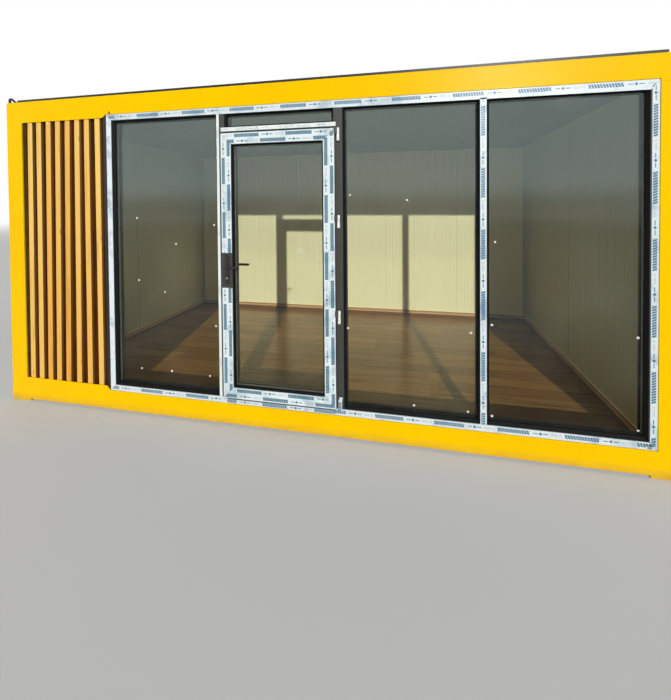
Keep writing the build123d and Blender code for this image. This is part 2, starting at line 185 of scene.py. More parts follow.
class Graph:
    """A shader node tree, and the ways that nodes are added to it."""

    def __init__(self, tree: bpy.types.NodeTree) -> None:
        """Empty the tree and hold it.

        Args:
            tree: The node tree.
        """
        self.tree = tree
        self.tree.nodes.clear()
        self._place: Optional[Channel] = None

    def node(self, kind: str, settings: Optional[Dict[str, Any]] = None,
             inputs: Optional[Inputs] = None, output: Union[int, str] = 0) -> Optional[Channel]:
        """Add a node, set it up, and feed its sockets.

        Args:
            kind: The node's type.
            settings: Its own settings.
            inputs: A value or a channel for each named or numbered socket.
            output: The output to return.

        Returns:
            The chosen output, or nothing for a node that has none.
        """
        made = self.tree.nodes.new(kind)
        for key, value in (settings or {}).items():
            setattr(made, key, value)
        for key, value in (inputs or {}).items():
            if isinstance(value, Channel):
                self.tree.links.new(value.socket, made.inputs[key])
            elif made.inputs[key].type == "RGBA":
                made.inputs[key].default_value = (*value, 1.0)
            else:
                made.inputs[key].default_value = value
        return Channel(self, made.outputs[output]) if made.outputs else None

    def maths(self, operation: str, *values: Number) -> Channel:
        """Add a Math node for one operation on up to three values."""
        return self.node("ShaderNodeMath", {"operation": operation}, dict(enumerate(values)))

    def place(self) -> Channel:
        """Read the point on the surface, in the cabin's frame.

        Returns:
            The point, from one node that the whole tree shares.
        """
        if self._place is None:
            self._place = self.node("ShaderNodeTexCoord", output="Object")
        return self._place

    def parts(self, vector: Optional[Channel] = None) -> Tuple[Channel, Channel, Channel]:
        """Split a vector, or else the point on the surface, into its three numbers."""
        x = self.node("ShaderNodeSeparateXYZ", inputs={0: vector or self.place()})
        return x, x.beside(1), x.beside(2)

    def point(self, x: Number, y: Number, z: Number) -> Channel:
        """Join three numbers into a vector."""
        return self.node("ShaderNodeCombineXYZ", inputs={0: x, 1: y, 2: z})

    def noise(self, scale: float, detail: float = 3.0, where: Optional[Channel] = None,
              twist: float = 0.0) -> Channel:
        """Cloudy noise from nought to one.

        Args:
            scale: How many clouds fit in a metre.
            detail: How many finer layers it has.
            where: The point that it is read at, or the place on the surface.
            twist: How much the clouds are swirled.

        Returns:
            The noise's level.
        """
        feeds = {"Vector": where or self.place(), "Scale": scale, "Detail": detail, "Distortion": twist}
        return self.node("ShaderNodeTexNoise", inputs=feeds, output="Fac")

    def strands(self, across: float, along: float, axis: Axis, detail: float = 3.0,
                twist: float = 0.0) -> Channel:
        """Noise that is drawn out along one axis.

        Args:
            across: How many strands fit in a metre.
            along: How many of them follow each other in a metre.
            axis: The axis that they run along.
            detail: How many finer layers they have.
            twist: How much they are swirled.

        Returns:
            The noise's level.
        """
        factors = [across] * len(Axis)
        factors[axis.value] = along
        feeds = {0: self.place(), 1: tuple(factors)}
        where = self.node("ShaderNodeVectorMath", {"operation": "MULTIPLY"}, feeds)
        return self.noise(1.0, detail, where, twist)

    def dice(self, x: Number, y: Number = 0.0) -> Channel:
        """A random number from nought to one for each pair of whole numbers."""
        return self.node("ShaderNodeTexWhiteNoise", inputs={"Vector": self.point(x, y, 0.0)}, output="Value")

    def mix(self, share: Number, start: Union[Channel, Colour], end: Union[Channel, Colour],
            blend: str = "MIX") -> Channel:
        """Blend from one colour to another by a share from nought to one."""
        settings = {"data_type": "RGBA", "blend_type": blend}
        return self.node("ShaderNodeMix", settings, {0: share, 6: start, 7: end}, output=2)

    def seen(self) -> Channel:
        """Find the rays that show the surroundings.

        Returns:
            One for rays from the camera, off gloss and through glass, else nought.
        """
        camera = self.node("ShaderNodeLightPath", output="Is Camera Ray")
        past_camera = self.maths("MAXIMUM", camera.beside("Is Glossy Ray"),
                                 camera.beside("Is Transmission Ray"))
        return self.maths("MAXIMUM", camera, past_camera)


class FinishGraph(Graph):
    """The node tree of one material."""

    def __init__(self, name: str) -> None:
        """Make an empty material with nodes.

        Args:
            name: The material's name.
        """
        self.material = bpy.data.materials.new(name)
        self.material.use_nodes = True
        super().__init__(self.material.node_tree)

    def surface(self, colour: Channel, roughness: Channel, height: Channel, relief: float,
                shine: float = 0.5, metallic: float = 0.0) -> None:
        """Finish the material with one Principled shader.

        Args:
            colour: Its base colour.
            roughness: Its roughness.
            height: The height of its skin.
            relief: What a height of one stands for, in metres.
            shine: How strongly it mirrors.
            metallic: How much of it is metal.
        """
        normal = self.node("ShaderNodeBump", inputs={"Height": height, "Distance": relief})
        self.close(self.node("ShaderNodeBsdfPrincipled", inputs={
            "Base Color": colour, "Roughness": roughness, "Normal": normal,
            "Specular IOR Level": shine, "Metallic": metallic}))

    def close(self, shader: Channel) -> None:
        """Send a shader to the material's output."""
        self.node("ShaderNodeOutputMaterial", inputs={"Surface": shader})


@dataclass(frozen=True)
class Finish:
    """A finish with its material's name, which each kind below draws in its own way."""

    name: str

    def build(self) -> bpy.types.Material:
        """Make the material.

        Returns:
            The material.
        """
        graph = FinishGraph(self.name)
        self.draw(graph)
        return graph.material

    def draw(self, graph: FinishGraph) -> None:
        """Add the material's nodes, in a way that each kind of finish gives."""
        raise NotImplementedError


@dataclass(frozen=True)
class PaintedSteel(Finish):
    """Sprayed enamel on steel: orange-peel skin, faint streaks, weld seams, dust and one dark mark."""

    colour: Colour
    shade: Colour
    roughness: float = 0.34
    shine: float = 0.05
    relief: float = 0.45 * MM
    dust: Colour = paint(150, 118, 78)
    dust_top: float = 0.09
    seam_level: float = 2.449
    seam_inside: float = 2.43
    seam_half: float = 4 * MM
    seam_rise: float = 2.5
    front: float = -1.1
    mark_at: Span = (-1.525, 2.474)
    mark_size: Span = (0.012, 0.02)
    mark_colour: Colour = paint(96, 62, 12)

    def draw(self, graph: FinishGraph) -> None:
        """Draw the enamel.

        Args:
            graph: The material's nodes.
        """
        x, _, z = graph.parts()
        runs = graph.strands(46.0, 2.2, Axis.Z, 4.0)
        brushed = graph.strands(150.0, 3.0, Axis.X)
        colour = graph.mix(graph.noise(1.7, 4.0).ramp(0.35, 0.75) * 0.55, self.colour, self.shade)
        colour = graph.mix(runs.ramp(0.56, 0.8) * 0.22, colour, self.shade)
        dusty = z.ramp(self.dust_top, 0.0) * (0.2 + graph.noise(9.0, 5.0, twist=0.4)) * 0.5
        colour = graph.mix(dusty, colour, self.dust)
        colour = graph.mix(self._mark(graph) * 0.9, colour, self.mark_colour)
        rough = self.roughness + (brushed - 0.5) * 0.18 + dusty * 0.4
        seam = abs(z - self.seam_level).ramp(self.seam_half, 0.0) * (abs(x) > self.seam_inside)
        skin = graph.noise(260.0, 2.0) * 0.35 + brushed * 0.5 + seam * self.seam_rise
        graph.surface(colour, rough, skin, self.relief, self.shine)

    def _mark(self, graph: FinishGraph) -> Channel:
        """Find the one small dark mark that the front beam carries.

        Args:
            graph: The material's nodes.

        Returns:
            The mark's mask.
        """
        x, y, z = graph.parts()
        across = (x - self.mark_at[0]) / self.mark_size[0]
        along = (z - self.mark_at[1]) / self.mark_size[1]
        near = (across * across + along * along) ** 0.5 + graph.noise(60.0, 4.0) * 0.7
        return near.ramp(1.35, 0.8) * (y < self.front)


@dataclass(frozen=True)
class CoatedSheet(Finish):
    """Factory-coated steel sheet: a smooth skin with fine grain, light soiling and dull patches, and where
    asked painted shade on its faces inside the room.
    """

    colour: Colour
    shade: Colour
    roughness: float = 0.42
    soil: float = 0.2
    shine: float = 0.35
    relief: float = 0.12 * MM
    painted_room_shade: Optional[Colour] = None
    room_half: float = 2.475

    def draw(self, graph: FinishGraph) -> None:
        """Draw the coated sheet.

        Args:
            graph: The material's nodes.
        """
        patches = graph.noise(2.3, 5.0, twist=0.3)
        drips = graph.strands(30.0, 1.1, Axis.Z, 5.0)
        soiled = (patches.ramp(0.45, 0.8) * 0.6 + drips.ramp(0.5, 0.85) * 0.6) * self.soil
        colour = graph.mix(soiled, self.colour, self.shade)
        # Painted shade: faces inside the room are darkened by a tint, standing in for the room's shade.
        if self.painted_room_shade:
            inside = abs(graph.parts()[0]) < self.room_half
            colour = graph.mix(inside, colour, self.painted_room_shade, "MULTIPLY")
        rough = self.roughness + (patches - 0.5) * 0.2
        graph.surface(colour, rough, graph.noise(420.0, 2.0), self.relief, self.shine)


@dataclass(frozen=True)
class FoiledProfile(Finish):
    """Plastic window profile: dark foil outside, embossed along its length, and white inside."""

    white_from: float
    along: Axis = Axis.Z
    colour: Colour = paint(76, 75, 70)
    shade: Colour = paint(50, 50, 47)
    white: Colour = paint(226, 226, 218)
    roughness: float = 0.36
    shine: float = 0.35
    relief: float = 0.16 * MM

    def draw(self, graph: FinishGraph) -> None:
        """Draw the foil and the white inner side.

        Args:
            graph: The material's nodes.
        """
        grain = graph.strands(520.0, 9.0, self.along, 4.0)
        tone = grain.ramp(0.35, 0.7) * 0.55 + graph.noise(3.1, 3.0) * 0.45
        inside = graph.parts()[1] > self.white_from
        colour = graph.mix(inside, graph.mix(tone, self.shade, self.colour), self.white)
        graph.surface(colour, self.roughness + grain * 0.16, grain, self.relief, self.shine)


@dataclass(frozen=True)
class GlazingBead(Finish):
    """Clip-in bead: near-black foil outside, partly painted shade of the gap beside the glass, grey inside,
    and black rubber against both glass faces.
    """

    glass_front: float
    glass_back: float
    gasket: float = 3.5 * MM
    # Painted shade: the outer foil is near black, darker than the frame's foil.
    foil: Colour = paint(18, 18, 19)
    foil_shade: Colour = paint(12, 12, 13)
    rubber: Colour = paint(12, 12, 13)
    inside: Colour = paint(64, 62, 57)
    roughness: float = 0.5
    shine: float = 0.1
    relief: float = 0.1 * MM

    def draw(self, graph: FinishGraph) -> None:
        """Draw the bead from front to back.

        Args:
            graph: The material's nodes.
        """
        y = graph.parts()[1]
        clouds = graph.noise(40.0, 4.0)
        colour = graph.mix(clouds, self.foil, self.foil_shade)
        colour = graph.mix(y > self.glass_front - self.gasket, colour, self.rubber)
        colour = graph.mix(y > self.glass_back + self.gasket, colour, self.inside)
        rough = self.roughness + clouds * 0.2
        graph.surface(colour, rough, graph.noise(600.0, 2.0), self.relief, self.shine)


@dataclass(frozen=True)
class SlatWood(Finish):
    """Planed softwood slats, oiled warm yellow, each of its own tone, with grain, small knots and painted
    shade on their sides.
    """

    first: float
    pitch: float
    pale: Colour = paint(248, 207, 116)
    warm: Colour = paint(238, 174, 74)
    ring: Colour = paint(180, 112, 40)
    knot: Colour = paint(104, 56, 22)
    # the painted shade on the slats' sides
    side: Colour = paint(108, 67, 6)
    chip: Colour = paint(255, 240, 196)
    chip_x: Span = (-2.168, -2.153)
    chip_z: Span = (2.417, 2.439)
    roughness: float = 0.5
    shine: float = 0.3
    relief: float = 0.5 * MM

    def draw(self, graph: FinishGraph) -> None:
        """Draw the slats' tones, rings, fibres and knots, painted shade on their sides, and one chipped end.

        Args:
            graph: The material's nodes.
        """
        x, y, z = graph.parts()
        tone = graph.dice(((x - self.first) / self.pitch + 0.5).floor())
        shifted = graph.point(x * 34.0 + tone * 90.0, y * 34.0, z * 1.4 + tone * 40.0)
        rings = graph.noise(1.0, 5.0, shifted, twist=1.2)
        fibres = graph.strands(700.0, 16.0, Axis.Z)
        # Each slat's own random tone, and paler towards the top.
        paler_share = tone.ramp(0.1, 0.9) * 0.65 + z.ramp(0.2, 2.4) * 0.35
        colour = graph.mix(paler_share, self.warm, self.pale)
        colour = graph.mix(rings.ramp(0.5, 0.74) * 0.45, colour, self.ring)
        colour = graph.mix(fibres.ramp(0.55, 0.85) * 0.22, colour, self.ring)
        spots = graph.node("ShaderNodeTexVoronoi", {"feature": "F1"}, {
            "Vector": graph.point(x * 18.0 + tone * 30.0, y * 3.0, z * 2.6 + tone * 17.0),
            "Scale": 1.0}, output="Distance")
        colour = graph.mix(spots.ramp(0.1, 0.05) * 0.55, colour, self.knot)
        # Painted shade: faces that look along X, the slats' sides, are darkened.
        facing = graph.parts(graph.node("ShaderNodeNewGeometry", output="Normal"))[0]
        colour = graph.mix(abs(facing).ramp(0.6, 0.95) * 0.8, colour, self.side)
        chipped = x.between(*self.chip_x) * z.between(*self.chip_z)
        colour = graph.mix(chipped * 0.8, colour, self.chip)
        height = rings * 0.5 + fibres * 0.5 - chipped
        graph.surface(colour, self.roughness + fibres * 0.2, height, self.relief, self.shine)


@dataclass(frozen=True)
class Timber(Finish):
    """Sawn or stained board with long grain, in a light and a dark tone."""

    colour: Colour
    shade: Colour
    along: Axis = Axis.Z
    roughness: float = 0.6
    relief: float = 0.6 * MM
    shine: float = 0.12

    def draw(self, graph: FinishGraph) -> None:
        """Draw the grain.

        Args:
            graph: The material's nodes.
        """
        rings = graph.strands(38.0, 1.6, self.along, 5.0, 0.9)
        fibres = graph.strands(480.0, 12.0, self.along)
        colour = graph.mix(rings.ramp(0.3, 0.7) * 0.7 + fibres * 0.3, self.shade, self.colour)
        rough = self.roughness + (fibres - 0.5) * 0.2
        graph.surface(colour, rough, rings * 0.4 + fibres * 0.6, self.relief, self.shine)


@dataclass(frozen=True)
class SkirtingFoilHighlighted(Finish):
    """Wood-look foil on the skirting, darkest at its foot, with a painted highlight on its top edge."""

    bands: Tuple[Tuple[float, Colour], ...] = (
        (146 * MM, paint(208, 164, 118)),
        (166 * MM, paint(172, 126, 82)),
        # Painted highlight: the palest band, on the sloped top edge.
        (187 * MM, paint(255, 240, 196)),
    )
    foot: Colour = paint(108, 72, 34)
    line: Colour = paint(96, 60, 30)
    blur: float = 2 * MM
    roughness: float = 0.42
    shine: float = 0.3
    relief: float = 0.2 * MM

    def draw(self, graph: FinishGraph) -> None:
        """Draw the bands one above the other, with level grain over them.

        Args:
            graph: The material's nodes.
        """
        z = graph.parts()[2]
        grain = graph.strands(9.0, 260.0, Axis.Z, 4.0)
        colour: Union[Channel, Colour] = self.foot
        for level, tone in self.bands:
            colour = graph.mix(z.ramp(level - self.blur, level + self.blur), colour, tone)
        colour = graph.mix(grain.ramp(0.5, 0.8) * 0.25, colour, self.line)
        graph.surface(colour, self.roughness + grain * 0.15, grain, self.relief, self.shine)


@dataclass(frozen=True)
class PlankFloor(Finish):
    """Laminate planks along the room, with staggered ends and bevelled joints."""

    row: float = 0.13
    length: float = 1.29
    joint: float = 2 * MM
    pale: Colour = paint(170, 126, 68)
    dark: Colour = paint(122, 82, 38)
    grain: Colour = paint(84, 52, 20)
    roughness: float = 0.14
    shine: float = 0.7
    relief: float = 0.5 * MM

    def draw(self, graph: FinishGraph) -> None:
        """Draw the planks, each with its own tone and figure.

        Args:
            graph: The material's nodes.
        """
        x, y, _ = graph.parts()
        row = (y / self.row).floor()
        along = x + graph.dice(row) * self.length
        tone = graph.dice(row, (along / self.length).floor() + 7.0)
        figured = graph.point(x * 1.6 + tone * 60.0, y * 34.0, tone * 9.0)
        figure = graph.noise(1.0, 5.0, figured, twist=1.2)
        fibres = graph.noise(1.0, 3.0, graph.point(x * 14.0, y * 420.0, 0.0))
        colour = graph.mix(0.28 + tone * 0.6, self.dark, self.pale)
        colour = graph.mix(figure.ramp(0.46, 0.74) * 0.62, colour, self.grain)
        colour = graph.mix(fibres.ramp(0.5, 0.8) * 0.2, colour, self.grain)
        edge = (y % self.row).between(self.joint, self.row - self.joint)
        edge = edge * (along % self.length).between(self.joint, self.length - self.joint)
        colour = graph.mix((1 - edge) * 0.85, colour, self.grain)
        height = edge * 0.8 + fibres * 0.1 + figure * 0.1
        graph.surface(colour, self.roughness + fibres * 0.14, height, self.relief, self.shine)


@dataclass(frozen=True)
class PlainPlastic(Finish):
    """Moulded or extruded plastic and rubber, with a fine matt skin and slight tone changes."""

    colour: Colour
    shade: Colour
    roughness: float = 0.35
    skin_scale: float = 700.0
    # Below this level the colour is painted shade.
    painted_shade_below: Optional[float] = None
    foot: Colour = paint(26, 26, 25)
    relief: float = 0.08 * MM

    def draw(self, graph: FinishGraph) -> None:
        """Draw the skin, and painted shade on its foot where it has one.

        Args:
            graph: The material's nodes.
        """
        clouds = graph.noise(14.0, 4.0)
        colour = graph.mix(clouds.ramp(0.3, 0.8), self.colour, self.shade)
        # Painted shade: below a level the colour turns dark.
        if self.painted_shade_below:
            colour = graph.mix(graph.parts()[2] < self.painted_shade_below, colour, self.foot)
        rough = self.roughness + (clouds - 0.5) * 0.16
        graph.surface(colour, rough, graph.noise(self.skin_scale, 2.0), self.relief)


@dataclass(frozen=True)
class HingeCap(Finish):
    """White plastic on a hinge's barrel, and dark foil on the flaps beside it."""

    axis_x: float
    axis_y: float
    barrel: float = 10.6 * MM
    white: Colour = paint(246, 246, 244)
    aged: Colour = paint(224, 222, 212)
    flap: Colour = paint(74, 71, 70)
    roughness: float = 0.26
    relief: float = 0.08 * MM

    def draw(self, graph: FinishGraph) -> None:
        """Draw the white barrel and the dark flaps.

        Args:
            graph: The material's nodes.
        """
        x, y, _ = graph.parts()
        across, out = x - self.axis_x, y - self.axis_y
        near = (across * across + out * out) ** 0.5 < self.barrel
        clouds = graph.noise(30.0, 4.0)
        colour = graph.mix(clouds.ramp(0.35, 0.8), self.white, self.aged)
        colour = graph.mix(near, self.flap, colour)
        rough = self.roughness + clouds * 0.12
        graph.surface(colour, rough, graph.noise(700.0, 2.0), self.relief)


@dataclass(frozen=True)
class BareMetal(Finish):
    """Brushed or plated metal with fine lines along one direction."""

    colour: Colour
    shade: Colour
    along: Axis = Axis.X
    metallic: float = 1.0
    roughness: float = 0.32
    relief: float = 0.1 * MM

    def draw(self, graph: FinishGraph) -> None:
        """Draw the metal's lines.

        Args:
            graph: The material's nodes.
        """
        lines = graph.strands(900.0, 20.0, self.along)
        colour = graph.mix(graph.noise(20.0, 3.0) * 0.5 + lines * 0.5, self.colour, self.shade)
        rough = self.roughness + (lines - 0.5) * 0.2
        graph.surface(colour, rough, lines, self.relief, metallic=self.metallic)


@dataclass(frozen=True)
class PrintedFilm(Finish):
    """White protective film with rows of even slanted bars, dashes and dots along its length.

    The film's own map gives the distance along it and from its middle, both in metres. Each row has
    the place of its middle line and the place where its print starts.
    """

    rows: Tuple[Span, ...]
    period: float = 0.412
    block: float = 0.2
    bar: float = 16.5 * MM
    bar_half: float = 12.5 * MM
    bar_slant: float = 0.45
    bar_share: Span = (0.1, 0.86)
    dashes: Tuple[Span, ...] = ((0.222, 0.252), (0.282, 0.312))
    dash_half: float = 2.6 * MM
    dot_at: float = 0.267
    dot_radius: float = 8.5 * MM
    faint_dashes: Tuple[Span, ...] = ((0.33, 0.372), (0.38, 0.396))
    faint_off: float = 4 * MM
    faint_half: float = 1.6 * MM
    wear: Span = (0.12, 0.42)
    film: Colour = paint(220, 231, 233)
    thin: Colour = paint(156, 180, 193)
    ink: Colour = paint(0, 92, 130)
    pale_ink: Colour = paint(166, 152, 180)
    roughness: float = 0.3
    shine: float = 0.4
    relief: float = 1.4 * MM

    def draw(self, graph: FinishGraph) -> None:
        """Draw the film with its loose places and its worn print.

        Args:
            graph: The material's nodes.
        """
        along, across, _ = graph.parts(graph.node("ShaderNodeUVMap", {"uv_map": "film"}))
        ink: Number = 0.0
        pale: Number = 0.0
        for middle, start in self.rows:
            row_ink, row_pale = self._row(graph, (along + start) % self.period, across - middle)
            ink = row_ink + ink
            pale = row_pale + pale
        wrinkles = graph.strands(26.0, 26.0, Axis.Z, 4.0, 2.0)
        loose = graph.noise(5.0, 4.0, twist=1.0).ramp(0.48, 0.72)
        colour = graph.mix(loose * 0.7, self.film, self.thin)
        worn = graph.noise(120.0, 3.0).ramp(*self.wear)
        colour = graph.mix(ink * worn * 0.92, colour, self.ink)
        colour = graph.mix(pale * worn * 0.7, colour, self.pale_ink)
        graph.surface(colour, self.roughness + wrinkles * 0.2, wrinkles, self.relief, self.shine)

    def _row(self, graph: FinishGraph, step: Channel, off: Channel) -> Tuple[Channel, Channel]:
        """Draw one printed row.

        Args:
            graph: The material's nodes.
            step: Distance along one repeat of the print.
            off: Distance from the row's middle line.

        Returns:
            The masks of the blue ink and of the pale ink.
        """
        slanted = (step + off * self.bar_slant) % self.bar
        first, last = (self.bar * share for share in self.bar_share)
        bars = slanted.between(first, last) * step.between(0.0, self.block)
        bars = bars * (abs(off) < self.bar_half)
        dashes, faint = (step.between(*spans[0]) + step.between(*spans[1])
                         for spans in (self.dashes, self.faint_dashes))
        from_dot = step - self.dot_at
        dot = (from_dot * from_dot + off * off) ** 0.5 < self.dot_radius
        blue = graph.maths("MINIMUM", bars + dashes * (abs(off) < self.dash_half) + dot, 1.0)
        lines = (abs(off - self.faint_off) < self.faint_half) + (abs(off + self.faint_off) < self.faint_half)
        return blue, faint * lines


@dataclass(frozen=True)
class WindowGlass(Finish):
    """Clear float glass with a faint tint, a mirror that grows at a slant, dust, and dried runs.

    The dust and the runs lie only on the front faces of the panes. The mirror is painted reflection:
    weakest at the panes' foot and stronger higher up, for dark ground below and bright sky above, with
    a sky-blue tint. Each of its steps has the level where it starts, the one where it ends, and what it
    adds.
    """

    front_faces: Tuple[float, ...]
    tint: Colour = (0.985, 0.992, 0.974)
    # Painted reflection: the mirror's sky-blue tint.
    mirror: Colour = (0.72, 0.93, 1.0)
    straight_on: float = 0.022
    chalk: Colour = paint(226, 228, 224)
    haze: float = 0.02
    painted_reflection_least: float = 0.18
    painted_reflection_steps: Tuple[Tuple[float, float, float], ...] = ((0.25, 1.0, 0.62), (1.68, 1.88, 1.0))
    runs_x: Span = (1.48, 2.13)
    runs_top: float = 2.4
    runs_foot: float = 2.2
    face_reach: float = 0.5 * MM

    def draw(self, graph: FinishGraph) -> None:
        """Draw the clear pane, its mirror and what lies on it.

        Args:
            graph: The material's nodes.
        """
        z = graph.parts()[2]
        slant = graph.node("ShaderNodeLayerWeight", inputs={"Blend": 0.5}, output="Facing")
        # Painted reflection: the mirror grows stronger with height, for dark ground below and bright sky
        # above.
        strength: Number = self.painted_reflection_least
        for start, end, added in self.painted_reflection_steps:
            strength = z.ramp(start, end) * added + strength
        share = (self.straight_on + (1 - self.straight_on) * slant ** 5.0) * strength
        clear = graph.node("ShaderNodeBsdfTransparent", inputs={"Color": self.tint})
        mirror = graph.node("ShaderNodeBsdfGlossy", inputs={"Color": self.mirror, "Roughness": 0.0})
        pane = graph.node("ShaderNodeMixShader", inputs={0: share, 1: clear, 2: mirror})
        chalk = graph.node("ShaderNodeBsdfDiffuse", inputs={"Color": self.chalk})
        graph.close(graph.node("ShaderNodeMixShader", inputs={0: self._cover(graph), 1: pane, 2: chalk}))

    def _cover(self, graph: FinishGraph) -> Channel:
        """Find how much of the glass is covered by dust and dried runs.

        Args:
            graph: The material's nodes.

        Returns:
            The covered share.
        """
        x, y, z = graph.parts()
        outside: Number = 0.0
        for face in self.front_faces:
            outside = (abs(y - face) < self.face_reach) + outside
        dust = graph.noise(2.6, 5.0, twist=0.5).ramp(0.35, 0.75) * self.haze
        streaks = graph.noise(1.0, 4.0, graph.point(x * 60.0, 0.0, z * 3.0), twist=0.6)
        spread = graph.noise(3.0, 2.0, graph.point(x, 0.0, 0.0))
        reach = self.runs_foot + (self.runs_top - self.runs_foot) * (1.2 - spread)
        fade = (z - reach).ramp(0.0, 0.1) * z.ramp(self.runs_top, self.runs_top - 0.02)
        runs = streaks.ramp(0.5, 0.68) * fade * x.between(*self.runs_x) * 0.22
        return outside * (dust + runs)


class Finishes:
    """Every finish of the cabin, each made once."""

    def __init__(self) -> None:
        """Make all the materials."""
        self._make_steel()
        self._make_room()
        self._make_window()
        self._make_film()

    def _make_steel(self) -> None:
        """Make the finishes of the frame, the roof and the walls."""
        cream = {"colour": paint(238, 229, 188), "shade": paint(204, 194, 148)}
        self.yellow = PaintedSteel("yellow_enamel", paint(253, 203, 0), paint(249, 193, 0)).build()
        self.dark_steel = CoatedSheet("black_steel_coat", paint(20, 20, 21), paint(40, 37, 32)).build()
        self.roof = CoatedSheet("roof_coating", paint(70, 73, 76), paint(108, 104, 94), soil=0.5).build()
        self.panel = CoatedSheet("cream_panel_coating", **cream).build()
        # Painted shade: the side walls' faces inside the room are darkened.
        self.room_shaded_panel = CoatedSheet("side_panel_coating", **cream, painted_room_shade=(0.6, 0.61, 0.64)).build()
        # Painted shade: the ceiling is a darker grey than the walls, so that the room inside looks darker.
        self.ceiling = CoatedSheet("ceiling_coating", paint(132, 131, 126), paint(110, 109, 103)).build()

    def _make_room(self) -> None:
        """Make the finishes of the floor, the wall switch and the slatted bay."""
        self.joist = Timber("joist_wood", paint(196, 158, 108), paint(142, 104, 62), Axis.Y).build()
        self.board = Timber("floor_board_wood", paint(170, 134, 92), paint(116, 84, 52), Axis.X).build()
        self.laminate = PlankFloor("laminate_planks").build()
        self.skirting = SkirtingFoilHighlighted("skirting_foil").build()
        self.switch = PlainPlastic("switch_plastic", paint(246, 244, 226), paint(232, 228, 206), 0.3).build()
        self.backing = Timber("stained_backing", paint(86, 40, 1), paint(44, 18, 0)).build()
        # Painted shade: the seal is olive, the yellow post's inner side as it looks in shade.
        self.seal = PlainPlastic("bay_edge_rubber", paint(116, 86, 14), paint(90, 62, 8), 0.7).build()
        self.slats = SlatWood("oiled_slat_wood", first=-2.37, pitch=0.1).build()

    def _make_window(self) -> None:
        """Make the finishes of the window wall, the door and the glass."""
        frame_back, leaf_back = -1.1455, -1.1755
        # Painted shade: the filler post and the transom bar are dressed darker than the frame's foil, for
        # the shade on them; the filler post is also a dark profile of its own.
        shaded_dark_foil = {"colour": paint(38, 36, 32), "shade": paint(25, 24, 21)}
        self.fixed_up = FoiledProfile("frame_profile_upright", frame_back).build()
        self.fixed_flat = FoiledProfile("frame_profile_level", frame_back, Axis.X).build()
        self.filler = FoiledProfile("filler_profile", frame_back, **shaded_dark_foil).build()
        self.shaded_bar_flat = FoiledProfile("bar_profile", frame_back, Axis.X, **shaded_dark_foil).build()
        self.leaf_up = FoiledProfile("leaf_profile_upright", leaf_back).build()
        self.leaf_flat = FoiledProfile("leaf_profile_level", leaf_back, Axis.X).build()
        fixed, leaf = ((low.y, high.y) for low, high in map(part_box, ("glass_left", "leaf_glass")))
        self.fixed_bead = GlazingBead("frame_bead", *fixed).build()
        self.leaf_bead = GlazingBead("leaf_bead", *leaf, inside=paint(104, 100, 90)).build()
        self.glass = WindowGlass("float_glass", (fixed[0], leaf[0])).build()
        # The spacer bars' feet carry painted shade.
        self.spacer = PlainPlastic("spacer_bar", paint(132, 129, 118), paint(108, 106, 98), 0.6,
                                   painted_shade_below=0.24).build()
        self.residue = PlainPlastic("pad_residue", paint(236, 236, 226), paint(206, 204, 190), 0.6).build()
        # Painted shade: the threshold is coloured dark for the shaded gap under the leaf.
        self.threshold = BareMetal("anodised_threshold", paint(74, 78, 82), paint(50, 53, 56),
                                   metallic=0.7).build()
        self.handle = BareMetal("dark_handle_coat", paint(62, 58, 58), paint(42, 40, 42), Axis.X,
                                0.4, 0.3).build()
        self.cylinder = BareMetal("nickel_cylinder", paint(206, 204, 196), paint(160, 158, 150), Axis.Y,
                                  1.0, 0.25).build()
        barrel = 10 * MM
        low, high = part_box("hinge_moving_halves")
        self.hinge = HingeCap("hinge_cap", high.x - barrel, low.y + barrel).build()

    def _make_film(self) -> None:
        """Make the film's finishes."""
        white = {"film": paint(238, 244, 240), "thin": paint(196, 208, 212)}
        streaked = {"film": paint(228, 237, 241), "thin": paint(132, 152, 172)}
        self.films = {
            FilmLook.PRINTED: PrintedFilm("film_one_row", ((0.002, 0.12),)).build(),
            FilmLook.DOUBLE: PrintedFilm("film_two_rows", ((0.021, 0.30), (-0.021, 0.09)),
                                         bar_share=(0.06, 0.92), wear=(0.0, 0.26),
                                         film=paint(226, 237, 238), ink=paint(0, 92, 118)).build(),
            FilmLook.WHITE: PrintedFilm("film_unprinted", (), **white).build(),
            FilmLook.STREAKED: PrintedFilm("film_streaked", (), **streaked).build(),
            FilmLook.FAINT: PrintedFilm("film_faint_row", ((0.0, 0.3),), wear=(0.4, 0.8), **white).build(),
        }


def facing(way: Sequence[float]) -> FaceTest:
    """Make a test for the faces that look one way."""
    return lambda side: side.normal.dot(Vector(way)) > FACING


